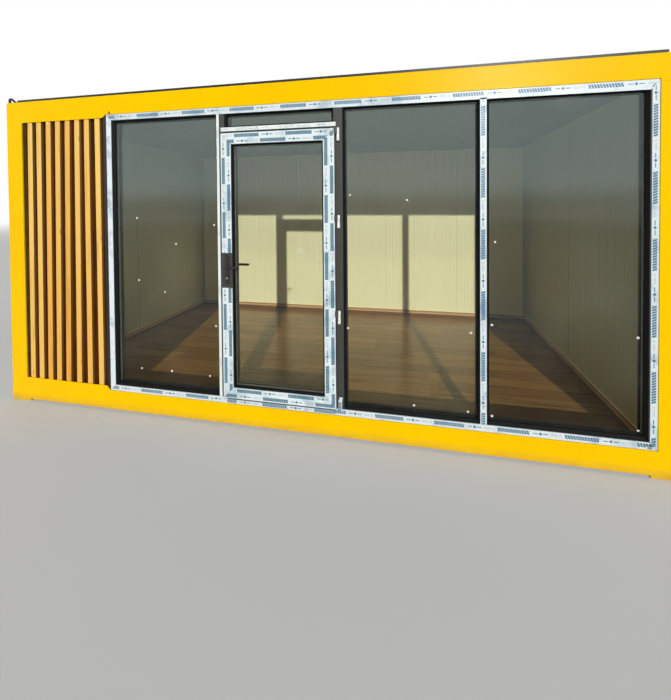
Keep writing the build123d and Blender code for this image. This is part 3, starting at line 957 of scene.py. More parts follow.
class Bench:
    """Blender's modelling operators, used on one piece at a time."""

    @staticmethod
    def clear() -> None:
        """Deselect every object."""
        bpy.ops.object.select_all(action="DESELECT")

    @staticmethod
    def take(piece: bpy.types.Object) -> None:
        """Select one object alone and make it the active one.

        Args:
            piece: The object.
        """
        Bench.clear()
        piece.select_set(True)
        bpy.context.view_layer.objects.active = piece

    @staticmethod
    def settled() -> bpy.types.Object:
        """Put a new primitive's place, turn and size into its mesh, and return it."""
        bpy.ops.object.transform_apply(location=True, rotation=True, scale=True)
        return bpy.context.object

    @staticmethod
    def slab(name: str, low: Sequence[float], high: Sequence[float]) -> bpy.types.Object:
        """Start a piece as a block between two corners.

        Args:
            name: The piece's name.
            low: The lowest corner.
            high: The highest corner.

        Returns:
            The new object.
        """
        low, high = Vector(low), Vector(high)
        Bench.clear()
        bpy.ops.mesh.primitive_cube_add(size=1.0, location=(low + high) / 2)
        piece = bpy.context.object
        piece.scale = high - low
        piece.name = piece.data.name = name
        return Bench.settled()

    @staticmethod
    def rod(radius: float, depth: float, sides: int, middle: Sequence[float],
            lying: bool = False) -> bpy.types.Object:
        """Start a piece as a cylinder.

        Args:
            radius: Its radius.
            depth: Its length.
            sides: How many sides it has.
            middle: Its middle.
            lying: Whether it lies along Y and doesn't stand.

        Returns:
            The new object.
        """
        Bench.clear()
        turn = (math.pi / 2, 0, 0) if lying else (0, 0, 0)
        bpy.ops.mesh.primitive_cylinder_add(vertices=sides, radius=radius, depth=depth, location=middle,
                                            rotation=turn)
        return Bench.settled()

    @staticmethod
    @contextmanager
    def editing(piece: bpy.types.Object, faces: Optional[FaceTest] = None,
                points: Optional[PointTest] = None) -> Iterator[None]:
        """Hold a piece open for editing, with some of its faces or points selected, or else all.

        Args:
            piece: The piece to edit.
            faces: Says of each face whether it is selected.
            points: Says of each point's place whether it is selected.

        Yields:
            Nothing.
        """
        Bench.take(piece)
        bpy.context.tool_settings.mesh_select_mode = (points is not None, False, points is None)
        bpy.ops.object.mode_set(mode="EDIT")
        bpy.ops.mesh.select_all(action="DESELECT" if faces or points else "SELECT")
        bpy.ops.object.mode_set(mode="OBJECT")
        for face in piece.data.polygons if faces else ():
            face.select = bool(faces(face))
        for point in piece.data.vertices if points else ():
            point.select = bool(points(point.co))
        bpy.ops.object.mode_set(mode="EDIT")
        yield
        bpy.ops.object.mode_set(mode="OBJECT")

    @staticmethod
    def extrude(by: Sequence[float]) -> None:
        """Extrude the selected faces along a line."""
        bpy.ops.mesh.extrude_region_move(TRANSFORM_OT_translate={"value": by})

    @staticmethod
    def push_faces(piece: bpy.types.Object, faces: FaceTest, by: Sequence[float]) -> None:
        """Extrude some of a piece's faces along a line."""
        with Bench.editing(piece, faces):
            Bench.extrude(by)

    @staticmethod
    def shift_points(piece: bpy.types.Object, points: PointTest, by: Sequence[float]) -> None:
        """Move some of a piece's points."""
        with Bench.editing(piece, points=points):
            bpy.ops.transform.translate(value=by)

    @staticmethod
    def cut(piece: bpy.types.Object, point: Sequence[float], normal: Sequence[float],
            drop_outer: bool = False) -> None:
        """Cut a piece by a plane, and where asked drop the side that the normal points to."""
        with Bench.editing(piece):
            bpy.ops.mesh.bisect(plane_co=point, plane_no=normal, clear_outer=drop_outer, use_fill=drop_outer)

    @staticmethod
    def close_up(piece: bpy.types.Object) -> None:
        """Close a piece's open ends and turn all of its faces outwards.

        Args:
            piece: The piece to close.
        """
        with Bench.editing(piece):
            bpy.ops.mesh.fill_holes(sides=0)
            bpy.ops.mesh.select_all(action="SELECT")
            bpy.ops.mesh.normals_make_consistent(inside=False)

    @staticmethod
    def ring(name: str, low: Sequence[float], high: Sequence[float], width: float) -> bpy.types.Object:
        """Model an upright ring: a block whose front and back are inset, then bridged through.

        Args:
            name: The ring's name.
            low: Its lowest corner.
            high: Its highest corner.
            width: The width of its sides.

        Returns:
            The ring.
        """
        ring = Bench.slab(name, low, high)
        with Bench.editing(ring, lambda side: abs(side.normal.y) > FACING):
            bpy.ops.mesh.inset(thickness=width)
            bpy.ops.mesh.bridge_edge_loops()
        return ring

    @staticmethod
    def angle_strip(start: Vector, run: Vector, first: Vector, second: Vector,
                    thick: float) -> bpy.types.Object:
        """Model an angle strip: a flat leg, and a second leg extruded from its side.

        Args:
            start: One end of its corner line.
            run: The way to the line's other end.
            first: The first leg, square to the line.
            second: The second leg, square to both.
            thick: The metal's thickness.

        Returns:
            The strip.
        """
        along, out = first.normalized(), second.normalized()
        end = start + run + first + out * thick
        low = [min(pair) for pair in zip(start, end)]
        high = [max(pair) for pair in zip(start, end)]
        strip = Bench.slab("angle_strip", low, high)
        Bench.cut(strip, start + along * thick, first)
        Bench.push_faces(strip, lambda side: ((side.center - start).dot(along) < thick
                                              and side.normal.dot(out) > FACING), second - out * thick)
        return strip

    @staticmethod
    def copied(piece: bpy.types.Object, by: Sequence[float]) -> bpy.types.Object:
        """Copy a piece with its own mesh, and move the copy.

        Args:
            piece: The piece to copy.
            by: The way that the copy is moved.

        Returns:
            The copy.
        """
        twin = piece.copy()
        twin.data = piece.data.copy()
        twin.data.transform(Matrix.Translation(by))
        bpy.context.collection.objects.link(twin)
        return twin

    @staticmethod
    def modify(piece: bpy.types.Object, kind: str, **settings: Any) -> None:
        """Add one modifier and apply it.

        Args:
            piece: The piece to change.
            kind: The modifier's type.
            **settings: The modifier's own settings.
        """
        Bench.take(piece)
        modifier = piece.modifiers.new(kind.lower(), kind)
        for key, value in settings.items():
            setattr(modifier, key, value)
        bpy.ops.object.modifier_apply(modifier=modifier.name)

    @staticmethod
    def round_edges(piece: bpy.types.Object, width: float) -> None:
        """Round a piece's sharp edges."""
        Bench.modify(piece, "BEVEL", width=width, segments=2, limit_method="ANGLE")

    @staticmethod
    def join(name: str, parts: List[bpy.types.Object]) -> bpy.types.Object:
        """Join parts into one piece of a name.

        Args:
            name: The piece's name.
            parts: The parts, of which the first becomes the piece.

        Returns:
            The piece.
        """
        Bench.take(parts[0])
        for part in parts:
            part.select_set(True)
        bpy.ops.object.join()
        piece = bpy.context.object
        piece.name = piece.data.name = name
        return piece

    @staticmethod
    def hand_over(piece: bpy.types.Object, body: Body, slot: Optional[Slot],
                  material: bpy.types.Material, replaces: Sequence[str] = ()) -> None:
        """Give a finished piece its finish and its body.

        Args:
            piece: The finished piece.
            body: The body that it rides on.
            slot: The record's slot for it, if it has one; not used.
            material: Its material.
            replaces: The CAD nodes that it stands for.
        """
        piece.data.materials.clear()
        piece.data.materials.append(material)
        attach(piece, body.value)
        if replaces:
            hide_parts(*replaces)
        log.info("%s rides on %s", piece.name, body.value)


def dress(nodes: Sequence[str], material: bpy.types.Material, edge: float = 0.0) -> None:
    """Give CAD nodes a material and, where asked, softly rounded edges.

    Args:
        nodes: The nodes' names.
        material: Their material.
        edge: The edge radius, or nought for none.
    """
    for name in nodes:
        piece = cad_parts[name]
        piece.data.materials.clear()
        piece.data.materials.append(material)
        if edge:
            weld = piece.modifiers.new("weld", "WELD")
            weld.merge_threshold = WELD_REACH
            bevel = piece.modifiers.new("edges", "BEVEL")
            bevel.width = edge
            bevel.segments = 2
            bevel.limit_method = "ANGLE"
            bevel.angle_limit = SHARP
        log.info("%s dressed in %s", name, material.name)


@dataclass
class Assembly:
    """One part of the cabin, with the finishes that it is dressed in."""

    finishes: Finishes

    def build(self) -> None:
        """Dress the part's nodes and model its pieces, as each part below does."""
        raise NotImplementedError


@dataclass
class RingFrame(Assembly):
    """The yellow steel ring frame with its feet, its lifting eyes and the slatted bay's rails."""

    yellow: Sequence[str] = (
        "corner_post_front_left", "corner_post_front_right", "corner_post_back_left",
        "corner_post_back_right", "bottom_beam_front", "bottom_beam_back", "bottom_beams_side",
        "top_beam_front", "top_beam_back", "top_beams_side", "corner_feet", "bay_rails")

    def build(self) -> None:
        """Dress the frame."""
        dress(self.yellow, self.finishes.yellow)
        dress(["lifting_eyes"], self.finishes.dark_steel)


@dataclass
class RibbedPanel:
    """One insulated wall or ceiling of profiled sheet, with shallow grooves and deeper joints."""

    node: str
    run: Axis
    face: Axis
    pitch: float = 100 * MM
    grooves_a_panel: int = 10
    half_groove: float = 11 * MM
    depth: float = 1.5 * MM
    joint_depth: float = 5 * MM

    def build(self, material: bpy.types.Material) -> None:
        """Model the panel and let it stand for the plain slab.

        Args:
            material: The panel's material.
        """
        low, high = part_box(self.node)
        run = self.run.value
        across = Vector([float(axis is self.run) for axis in Axis])
        module_high = high.copy()
        module_high[run] = low[run] + self.pitch
        panel = Bench.slab(f"{self.node}_profiled", low, module_high)
        middle = low[run] + self.pitch / 2
        for offset in (-self.half_groove, 0.0, self.half_groove):
            Bench.cut(panel, across * (middle + offset), across)
        self._press(panel, [middle], self.depth)
        with Bench.editing(panel, lambda side: abs(side.normal[run]) > FACING):
            bpy.ops.mesh.delete(type="ONLY_FACE")
        count = math.ceil((high[run] - low[run]) / self.pitch - WHOLE)
        Bench.modify(panel, "ARRAY", count=count, use_relative_offset=False, use_constant_offset=True,
                     constant_offset_displace=across * self.pitch, use_merge_vertices=True,
                     merge_threshold=NEAR)
        last = self.grooves_a_panel - 1
        joints = [middle + index * self.pitch for index in range(last, count, self.grooves_a_panel)]
        self._press(panel, joints, self.joint_depth - self.depth)
        if count * self.pitch > high[run] - low[run] + MM:
            Bench.cut(panel, high, across, drop_outer=True)
        Bench.close_up(panel)
        Bench.hand_over(panel, Body.CABIN, Slot.PANEL, material, [self.node])

    def _press(self, panel: bpy.types.Object, places: Sequence[float], depth: float) -> None:
        """Push the middle lines of some grooves in from both faces.

        Args:
            panel: The panel.
            places: Where the grooves lie along it.
            depth: How far they are pushed in.
        """
        run, face = self.run.value, self.face.value
        low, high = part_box(self.node)
        for side, inward in ((low[face], depth), (high[face], -depth)):
            by = [0.0, 0.0, 0.0]
            by[face] = inward
            Bench.shift_points(
                panel,
                lambda point: (abs(point[face] - side) < 2 * self.depth
                               and any(abs(point[run] - place) < NEAR for place in places)),
                by)


@dataclass
class Shell(Assembly):
    """The insulated walls and ceiling, with the angle strips that cover their edges."""

    leg: float = 30 * MM
    outer_leg: float = 28 * MM
    thick: float = 1.2 * MM
    panels: Sequence[RibbedPanel] = (
        RibbedPanel("back_wall", Axis.X, Axis.Y),
        RibbedPanel("left_wall", Axis.Y, Axis.X),
        RibbedPanel("right_wall", Axis.Y, Axis.X),
        RibbedPanel("bay_wall_panel", Axis.X, Axis.Y),
        RibbedPanel("ceiling_panel", Axis.X, Axis.Z),
    )

    def build(self) -> None:
        """Make the panels and their strips."""
        # The side walls' coat carries painted shade on its faces inside the room.
        coats = {"left_wall": self.finishes.room_shaded_panel, "right_wall": self.finishes.room_shaded_panel,
                 "ceiling_panel": self.finishes.ceiling}
        for panel in self.panels:
            panel.build(coats.get(panel.node, self.finishes.panel))
        strips = [Bench.angle_strip(*lines, self.thick) for lines in (*self._inside(), *self._outside())]
        # The strips take the side walls' coat, with its painted room shade.
        Bench.hand_over(Bench.join("edge_cover_strips", strips), Body.CABIN, Slot.PANEL,
                        self.finishes.room_shaded_panel)

    def _inside(self) -> List[Tuple[Vector, Vector, Vector, Vector]]:
        """Lay out the strips in the room's corners.

        Returns:
            Each strip's start, its run and its two legs.
        """
        low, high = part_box("laminate_floor")
        ceiling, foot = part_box("ceiling_panel")[0].z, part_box("skirting")[1].z
        rise = Vector((0, 0, ceiling - foot - self.leg))
        down, forward = Vector((0, 0, -self.leg)), Vector((0, -self.leg, 0))
        strips = []
        for side, x in ((1, low.x), (-1, high.x)):
            inward = Vector((side * self.leg, 0, 0))
            strips.append((Vector((x, high.y, foot)), rise, inward, forward))
            strips.append((Vector((x, low.y, ceiling)), Vector((0, high.y - low.y - self.leg, 0)),
                           inward, down))
        back = Vector((low.x, high.y, ceiling))
        return [*strips, (back, Vector((high.x - low.x, 0, 0)), forward, down)]

    def _outside(self) -> List[Tuple[Vector, Vector, Vector, Vector]]:
        """Lay out the strips where the walls meet the steel frame.

        Returns:
            Each strip's start, its run and its two legs.
        """
        strips = []
        for node, run, out in (("back_wall", Vector((1, 0, 0)), Vector((0, 1, 0))),
                               ("left_wall", Vector((0, 1, 0)), Vector((-1, 0, 0))),
                               ("right_wall", Vector((0, 1, 0)), Vector((1, 0, 0)))):
            low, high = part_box(node)
            face = max(low.dot(out), high.dot(out))
            start, width = low.dot(run), (high - low).dot(run)
            leg_out, up = out * self.outer_leg, Vector((0, 0, self.outer_leg))
            for level, inward in ((low.z, up), (high.z, -up)):
                corner = run * start + out * face + Vector((0, 0, level))
                strips.append((corner, run * width, inward, leg_out))
            rise = Vector((0, 0, high.z - low.z)) - 2 * up
            for side, place in ((1, start), (-1, start + width)):
                corner = run * place + out * face + Vector((0, 0, low.z)) + up
                strips.append((corner, rise, run * side * self.outer_leg, leg_out))
        return strips


@dataclass
class RoofAndFloor(Assembly):
    """Roof sheet with its screws, trims, and the built floor with a moulded skirting."""

    trim_edge: float = 1.0 * MM
    screw_radius: float = 5 * MM
    screw_height: float = 5 * MM
    screw_edge: float = 0.8 * MM
    screw_sides: int = 6
    washer_radius: float = 9 * MM
    washer_height: float = 1.5 * MM
    washer_sides: int = 12
    row_inset: float = 45 * MM
    board_thick: float = 16 * MM
    groove: Span = (152 * MM, 160 * MM)
    groove_depth: float = 4 * MM
    chamfer: float = 7 * MM

    def build(self) -> None:
        """Dress the roof and the floor, and make the screws and the skirting."""
        dress(["roof_sheet"], self.finishes.roof)
        # The trim's near-black coat is partly painted shade, for the shadow line under the roof's edge.
        dress(["roof_trim"], self.finishes.dark_steel, self.trim_edge)
        dress(["floor_joists"], self.finishes.joist)
        dress(["floor_board"], self.finishes.board)
        dress(["laminate_floor"], self.finishes.laminate)
        self._screws()
        self._skirting()

    def _screws(self) -> None:
        """Put a row of screws at each end and in the middle of every rib."""
        low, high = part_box("roof_sheet")
        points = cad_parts["roof_sheet"].data.vertices
        edges = sorted({round(point.co.x, 4) for point in points if point.co.z > high.z - NEAR})
        crowns = [(left + right) / 2 for left, right in zip(edges[::2], edges[1::2])]
        washer = Bench.rod(self.washer_radius, self.washer_height, self.washer_sides,
                           (0, 0, high.z + self.washer_height / 2))
        head = Bench.rod(self.screw_radius, self.screw_height, self.screw_sides,
                         (0, 0, high.z + self.washer_height + self.screw_height / 2))
        Bench.modify(head, "BEVEL", width=self.screw_edge, segments=2)
        pattern = Bench.join("roof_screw", [washer, head])
        rows = (low.y + self.row_inset, (low.y + high.y) / 2, high.y - self.row_inset)
        screws = [Bench.copied(pattern, (x, y, 0)) for x in crowns for y in rows]
        bpy.data.objects.remove(pattern)
        Bench.hand_over(Bench.join("roof_screws", screws), Body.CABIN, Slot.DARK_STEEL,
                        self.finishes.dark_steel)

    def _skirting(self) -> None:
        """Mould the skirting boards: a groove near the top, and a sloped top edge."""
        low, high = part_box("skirting")
        thick = self.board_thick
        boards = []
        for first, last, into in (
            ((low.x, high.y - thick, low.z), high, Vector((0, -1, 0))),
            (low, (low.x + thick, high.y - thick, high.z), Vector((1, 0, 0))),
            ((high.x - thick, low.y, low.z), (high.x, high.y - thick, high.z), Vector((-1, 0, 0))),
        ):
            board = Bench.slab("skirting_board", first, last)
            for level in self.groove:
                Bench.cut(board, (0, 0, level), (0, 0, 1))
            Bench.push_faces(board, lambda side: (side.normal.dot(into) > FACING
                                                  and self.groove[0] < side.center.z < self.groove[1]),
                             into * -self.groove_depth)
            edge = Vector(first if into.x + into.y < 0 else last)
            corner = Vector((edge.x, edge.y, high.z - self.chamfer))
            Bench.cut(board, corner, into + Vector((0, 0, 1)), drop_outer=True)
            boards.append(board)
        piece = Bench.join("skirting_moulded", boards)
        Bench.close_up(piece)
        Bench.hand_over(piece, Body.CABIN, Slot.SKIRTING, self.finishes.skirting, ["skirting"])


@dataclass
class WallSwitch(Assembly):
    """A light switch on the back wall, with surface trunking down to it from the ceiling."""

    x: float = -0.784
    z: Span = (0.955, 1.035)
    half_width: float = 33 * MM
    depth: float = 22 * MM
    rim: float = 7 * MM
    rocker_gap: float = 1.5 * MM
    rocker_rise: float = 3 * MM
    trunk_half: float = 8 * MM
    trunk_depth: float = 12 * MM
    trunk_lip: float = 2 * MM
    edge: float = 0.8 * MM

    def build(self) -> None:
        """Model the box with its rocker, and the trunking with its clipped lid."""
        wall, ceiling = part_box("back_wall")[0].y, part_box("ceiling_panel")[0].z
        box = Bench.slab("switch_box", (self.x - self.half_width, wall - self.depth, self.z[0]),
                         (self.x + self.half_width, wall, self.z[1]))
        with Bench.editing(box, facing((0, -1, 0))):
            bpy.ops.mesh.inset(thickness=self.rim)
            Bench.extrude((0, self.rocker_gap, 0))
            bpy.ops.mesh.inset(thickness=self.rocker_gap)
            Bench.extrude((0, -self.rocker_rise, 0))
        trunk = Bench.slab("switch_trunking",
                           (self.x - self.trunk_half, wall - self.trunk_depth, self.z[1]),
                           (self.x + self.trunk_half, wall, ceiling))
        with Bench.editing(trunk, facing((0, -1, 0))):
            bpy.ops.mesh.inset(thickness=self.trunk_lip)
            Bench.extrude((0, -self.trunk_lip, 0))
        for part in (box, trunk):
            Bench.round_edges(part, self.edge)
        Bench.hand_over(Bench.join("wall_switch", [box, trunk]), Body.CABIN, None, self.finishes.switch)


@dataclass
class SlattedBay(Assembly):
    """The bay at the left end: slats over a dark backing board, with a seal beside the post coloured as
    painted shade.
    """

    post_edge: float = 1.0 * MM
    slat_edge: float = 2.0 * MM
    seal_width: float = 5 * MM
    seal_lip: float = 1.5 * MM
    seal_edge: float = 0.5 * MM

    def build(self) -> None:
        """Dress the bay and make its seal."""
        dress(["bay_backing_board"], self.finishes.backing)
        # The filler post's dark foil is partly painted shade.
        dress(["bay_filler_post"], self.finishes.filler, self.post_edge)
        dress(["wood_slats"], self.finishes.slats, self.slat_edge)
        self._seal()

    def _seal(self) -> None:
        """Model the lipped seal between the corner post and the backing board, in the olive of painted shade
        on yellow.
        """
        low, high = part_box("bay_backing_board")
        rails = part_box("bay_rails")[1].y
        seal = Bench.slab("bay_edge_seal", (low.x, rails + MM, low.z),
                          (low.x + self.seal_width, low.y, high.z))
        Bench.cut(seal, (0, low.y - 3 * self.seal_lip, 0), (0, 1, 0))
        lip_from = low.y - 2 * self.seal_lip
        Bench.push_faces(seal, lambda side: side.normal.x > FACING and side.center.y > lip_from,
                         (self.seal_lip, 0, 0))
        Bench.round_edges(seal, self.seal_edge)
        Bench.hand_over(seal, Body.CABIN, Slot.BACKING, self.finishes.seal)


@dataclass
class WindowWall(Assembly):
    """Frame, mullions, beads and threshold of the glazed front."""

    upright: Sequence[str] = ("window_jamb_left", "window_jamb_right", "mullion_lock", "mullion_hinge",
                              "mullion_plain")
    profile_edge: float = 1.0 * MM
    hinge_edge: float = 0.6 * MM

    def build(self) -> None:
        """Dress the window wall."""
        dress(["window_head", "window_sill"], self.finishes.fixed_flat, self.profile_edge)
        # The transom bar's dark foil is painted shade.
        dress(["transom_bar"], self.finishes.shaded_bar_flat, self.profile_edge)
        dress(self.upright, self.finishes.fixed_up, self.profile_edge)
        dress(["glazing_beads"], self.finishes.fixed_bead)
        dress(["door_threshold"], self.finishes.threshold, self.profile_edge)
        dress(["hinge_fixed_halves"], self.finishes.hinge, self.hinge_edge)


@dataclass
class DoorLeaf(Assembly):
    """The glazed door with its hinges, lock plates, key cylinder and levers."""

    profile_edge: float = 1.2 * MM
    hinge_edge: float = 0.6 * MM
    plate_edge: float = 0.8 * MM
    barrel: float = 8.5 * MM
    barrel_sides: int = 32
    barrel_rim: float = 1.6 * MM
    barrel_edge: float = 0.25 * MM
    plug_set_back: float = 0.5 * MM
    keyway: Span = (0.2, 0.75)
    keyway_depth: float = 3 * MM
    screw_radius: float = 3.6 * MM
    screw_sides: int = 20
    screw_height: float = 0.9 * MM
    screw_inset: float = 14 * MM
    screw_sunk: float = 0.1 * MM
    slot_inset: float = 1.0 * MM
    slot_share: float = 0.3
    slot_depth: float = 0.6 * MM

    def build(self) -> None:
        """Dress the door and make its cylinder and screws."""
        dress(["leaf_rail_top", "leaf_rail_bottom"], self.finishes.leaf_flat, self.profile_edge)
        dress(["leaf_stile_lock", "leaf_stile_hinge"], self.finishes.leaf_up, self.profile_edge)
        dress(["leaf_beads"], self.finishes.leaf_bead)
        dress(["hinge_moving_halves"], self.finishes.hinge, self.hinge_edge)
        dress(["lock_plates"], self.finishes.handle, self.plate_edge)
        dress(["lever_outside", "lever_inside", "lever_spindle"], self.finishes.handle)
        self._cylinder()
        self._plate_screws()

    def _cylinder(self) -> None:
        """Model the key cylinder: a rim, a plug set back, and a keyway in each end."""
        low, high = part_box("key_cylinder")
        piece = Bench.rod(self.barrel, high.y - low.y, self.barrel_sides, (low + high) / 2, lying=True)
        piece.name = piece.data.name = "key_cylinder_turned"
        for way in (-1, 1):
            with Bench.editing(piece, facing((0, way, 0))):
                bpy.ops.mesh.inset(thickness=self.barrel_rim)
                Bench.extrude((0, -self.plug_set_back * way, 0))
                bpy.ops.mesh.inset(thickness=self.plug_set_back)
                bpy.ops.transform.resize(value=(self.keyway[0], 1, self.keyway[1]))
                Bench.extrude((0, -self.keyway_depth * way, 0))
        Bench.round_edges(piece, self.barrel_edge)
        Bench.hand_over(piece, Body.DOOR, Slot.CYLINDER, self.finishes.cylinder, ["key_cylinder"])

    def _plate_screws(self) -> None:
        """Model one slotted screw head and copy it to both ends of the outside plate."""
        low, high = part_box("lock_plates")
        middle = ((low.x + high.x) / 2, low.y - self.screw_height / 2 + self.screw_sunk, 0)
        head = Bench.rod(self.screw_radius, self.screw_height, self.screw_sides, middle, lying=True)
        with Bench.editing(head, facing((0, -1, 0))):
            bpy.ops.mesh.inset(thickness=self.slot_inset)
            bpy.ops.transform.resize(value=(self.slot_share, 1, 1))
            Bench.extrude((0, self.slot_depth, 0))
        screws = [Bench.copied(head, (0, 0, level))
                  for level in (low.z + self.screw_inset, high.z - self.screw_inset)]
        bpy.data.objects.remove(head)
        Bench.hand_over(Bench.join("lock_plate_screws", screws), Body.DOOR, Slot.HANDLE,
                        self.finishes.handle)


@dataclass
class Glazing(Assembly):
    """Sealed glass units: two sheets round a spacer bar, with pads' residue on the outer sheet."""

    sheet: float = 4 * MM
    spacer: float = 12 * MM
    leaf_spacer: float = 8 * MM
    pad_radius: float = 9 * MM
    pad_sides: int = 14
    pad_rings: int = 6
    pad_height: float = 0.8 * MM
    pad_least: float = 0.9
    pad_growth: float = 0.06
    pad_sizes: int = 4
    pad_upright: float = 0.9
    pad_sunk: float = 0.02 * MM
    pads: Dict[str, Sequence[Span]] = field(default_factory=lambda: {
        "glass_left": ((-1.308, 1.609), (-0.948, 1.400), (-0.607, 1.555), (-1.299, 1.096),
                       (-1.056, 1.007), (-0.602, 0.756), (-1.285, 0.365), (-1.003, 0.364),
                       (-0.661, 0.353)),
        "glass_middle": ((0.487, 1.778), (0.896, 1.738), (0.465, 0.806), (1.325, 0.825),
                         (0.939, 0.284), (1.305, 0.278)),
        "glass_right": ((1.481, 1.451), (1.461, 0.888), (2.331, 0.858), (1.461, 0.266),
                        (2.335, 0.268)),
    })

    def build(self) -> None:
        """Make all five units and the residue."""
        for node in ("glass_left", "glass_middle", "glass_right", "glass_transom"):
            self._unit(node, Body.CABIN, self.spacer)
        self._unit("leaf_glass", Body.DOOR, self.leaf_spacer)
        self._residue()

    def _unit(self, node: str, body: Body, spacer: float) -> None:
        """Make the two sheets that stand for one solid pane, and the spacer bar between them.

        Args:
            node: The pane's node.
            body: The body that it rides on.
            spacer: How wide the spacer bar is, seen from the front.
        """
        low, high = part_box(node)
        bar = Bench.ring(f"{node}_spacer", (low.x, low.y + self.sheet, low.z),
                         (high.x, high.y - self.sheet, high.z), spacer)
        Bench.hand_over(bar, body, Slot.GLASS, self.finishes.spacer)
        outer = Bench.slab(f"{node}_outer", low, (high.x, low.y + self.sheet, high.z))
        inner = Bench.slab(f"{node}_inner", (low.x, high.y - self.sheet, low.z), high)
        unit = Bench.join(f"{node}_unit", [outer, inner])
        Bench.hand_over(unit, body, Slot.GLASS, self.finishes.glass, [node])

    def _residue(self) -> None:
        """Make the small pale spots that transport pads left on the glass."""
        spots = []
        for node, places in self.pads.items():
            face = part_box(node)[0].y
            for number, (x, z) in enumerate(places):
                Bench.clear()
                bpy.ops.mesh.primitive_uv_sphere_add(segments=self.pad_sides, ring_count=self.pad_rings,
                                                     radius=1.0, location=(x, face, z))
                growth = self.pad_growth * (number % self.pad_sizes)
                size = self.pad_radius * (self.pad_least + growth)
                bpy.context.object.scale = (size, self.pad_height, size * self.pad_upright)
                spots.append(Bench.settled())
                Bench.cut(spots[-1], (x, face - self.pad_sunk, z), (0, 1, 0), drop_outer=True)
        piece = Bench.join("pad_residue_spots", spots)
        bpy.ops.object.shade_smooth()
        Bench.hand_over(piece, Body.CABIN, Slot.GLASS, self.finishes.residue)


@dataclass
class FilmStrip:
    """One length of film: its face's spans, its direction, how its ends are cut and how it looks.

    A mitred end has 1 or -1, which says which side is the longer one, and a square end has nought.
    """

    name: str
    x: Span
    z: Span
    along: Axis
    mitred: Tuple[int, int] = (0, 0)
    look: FilmLook = FilmLook.PRINTED
    body: Body = Body.CABIN
    sag: float = 0.0


@dataclass
class FilmFlap:
    """A loose end of film that has curled away from its profile."""

    name: str
    x: Span
    z: Span
    lean: float
    curl: float
    rows: int = 8


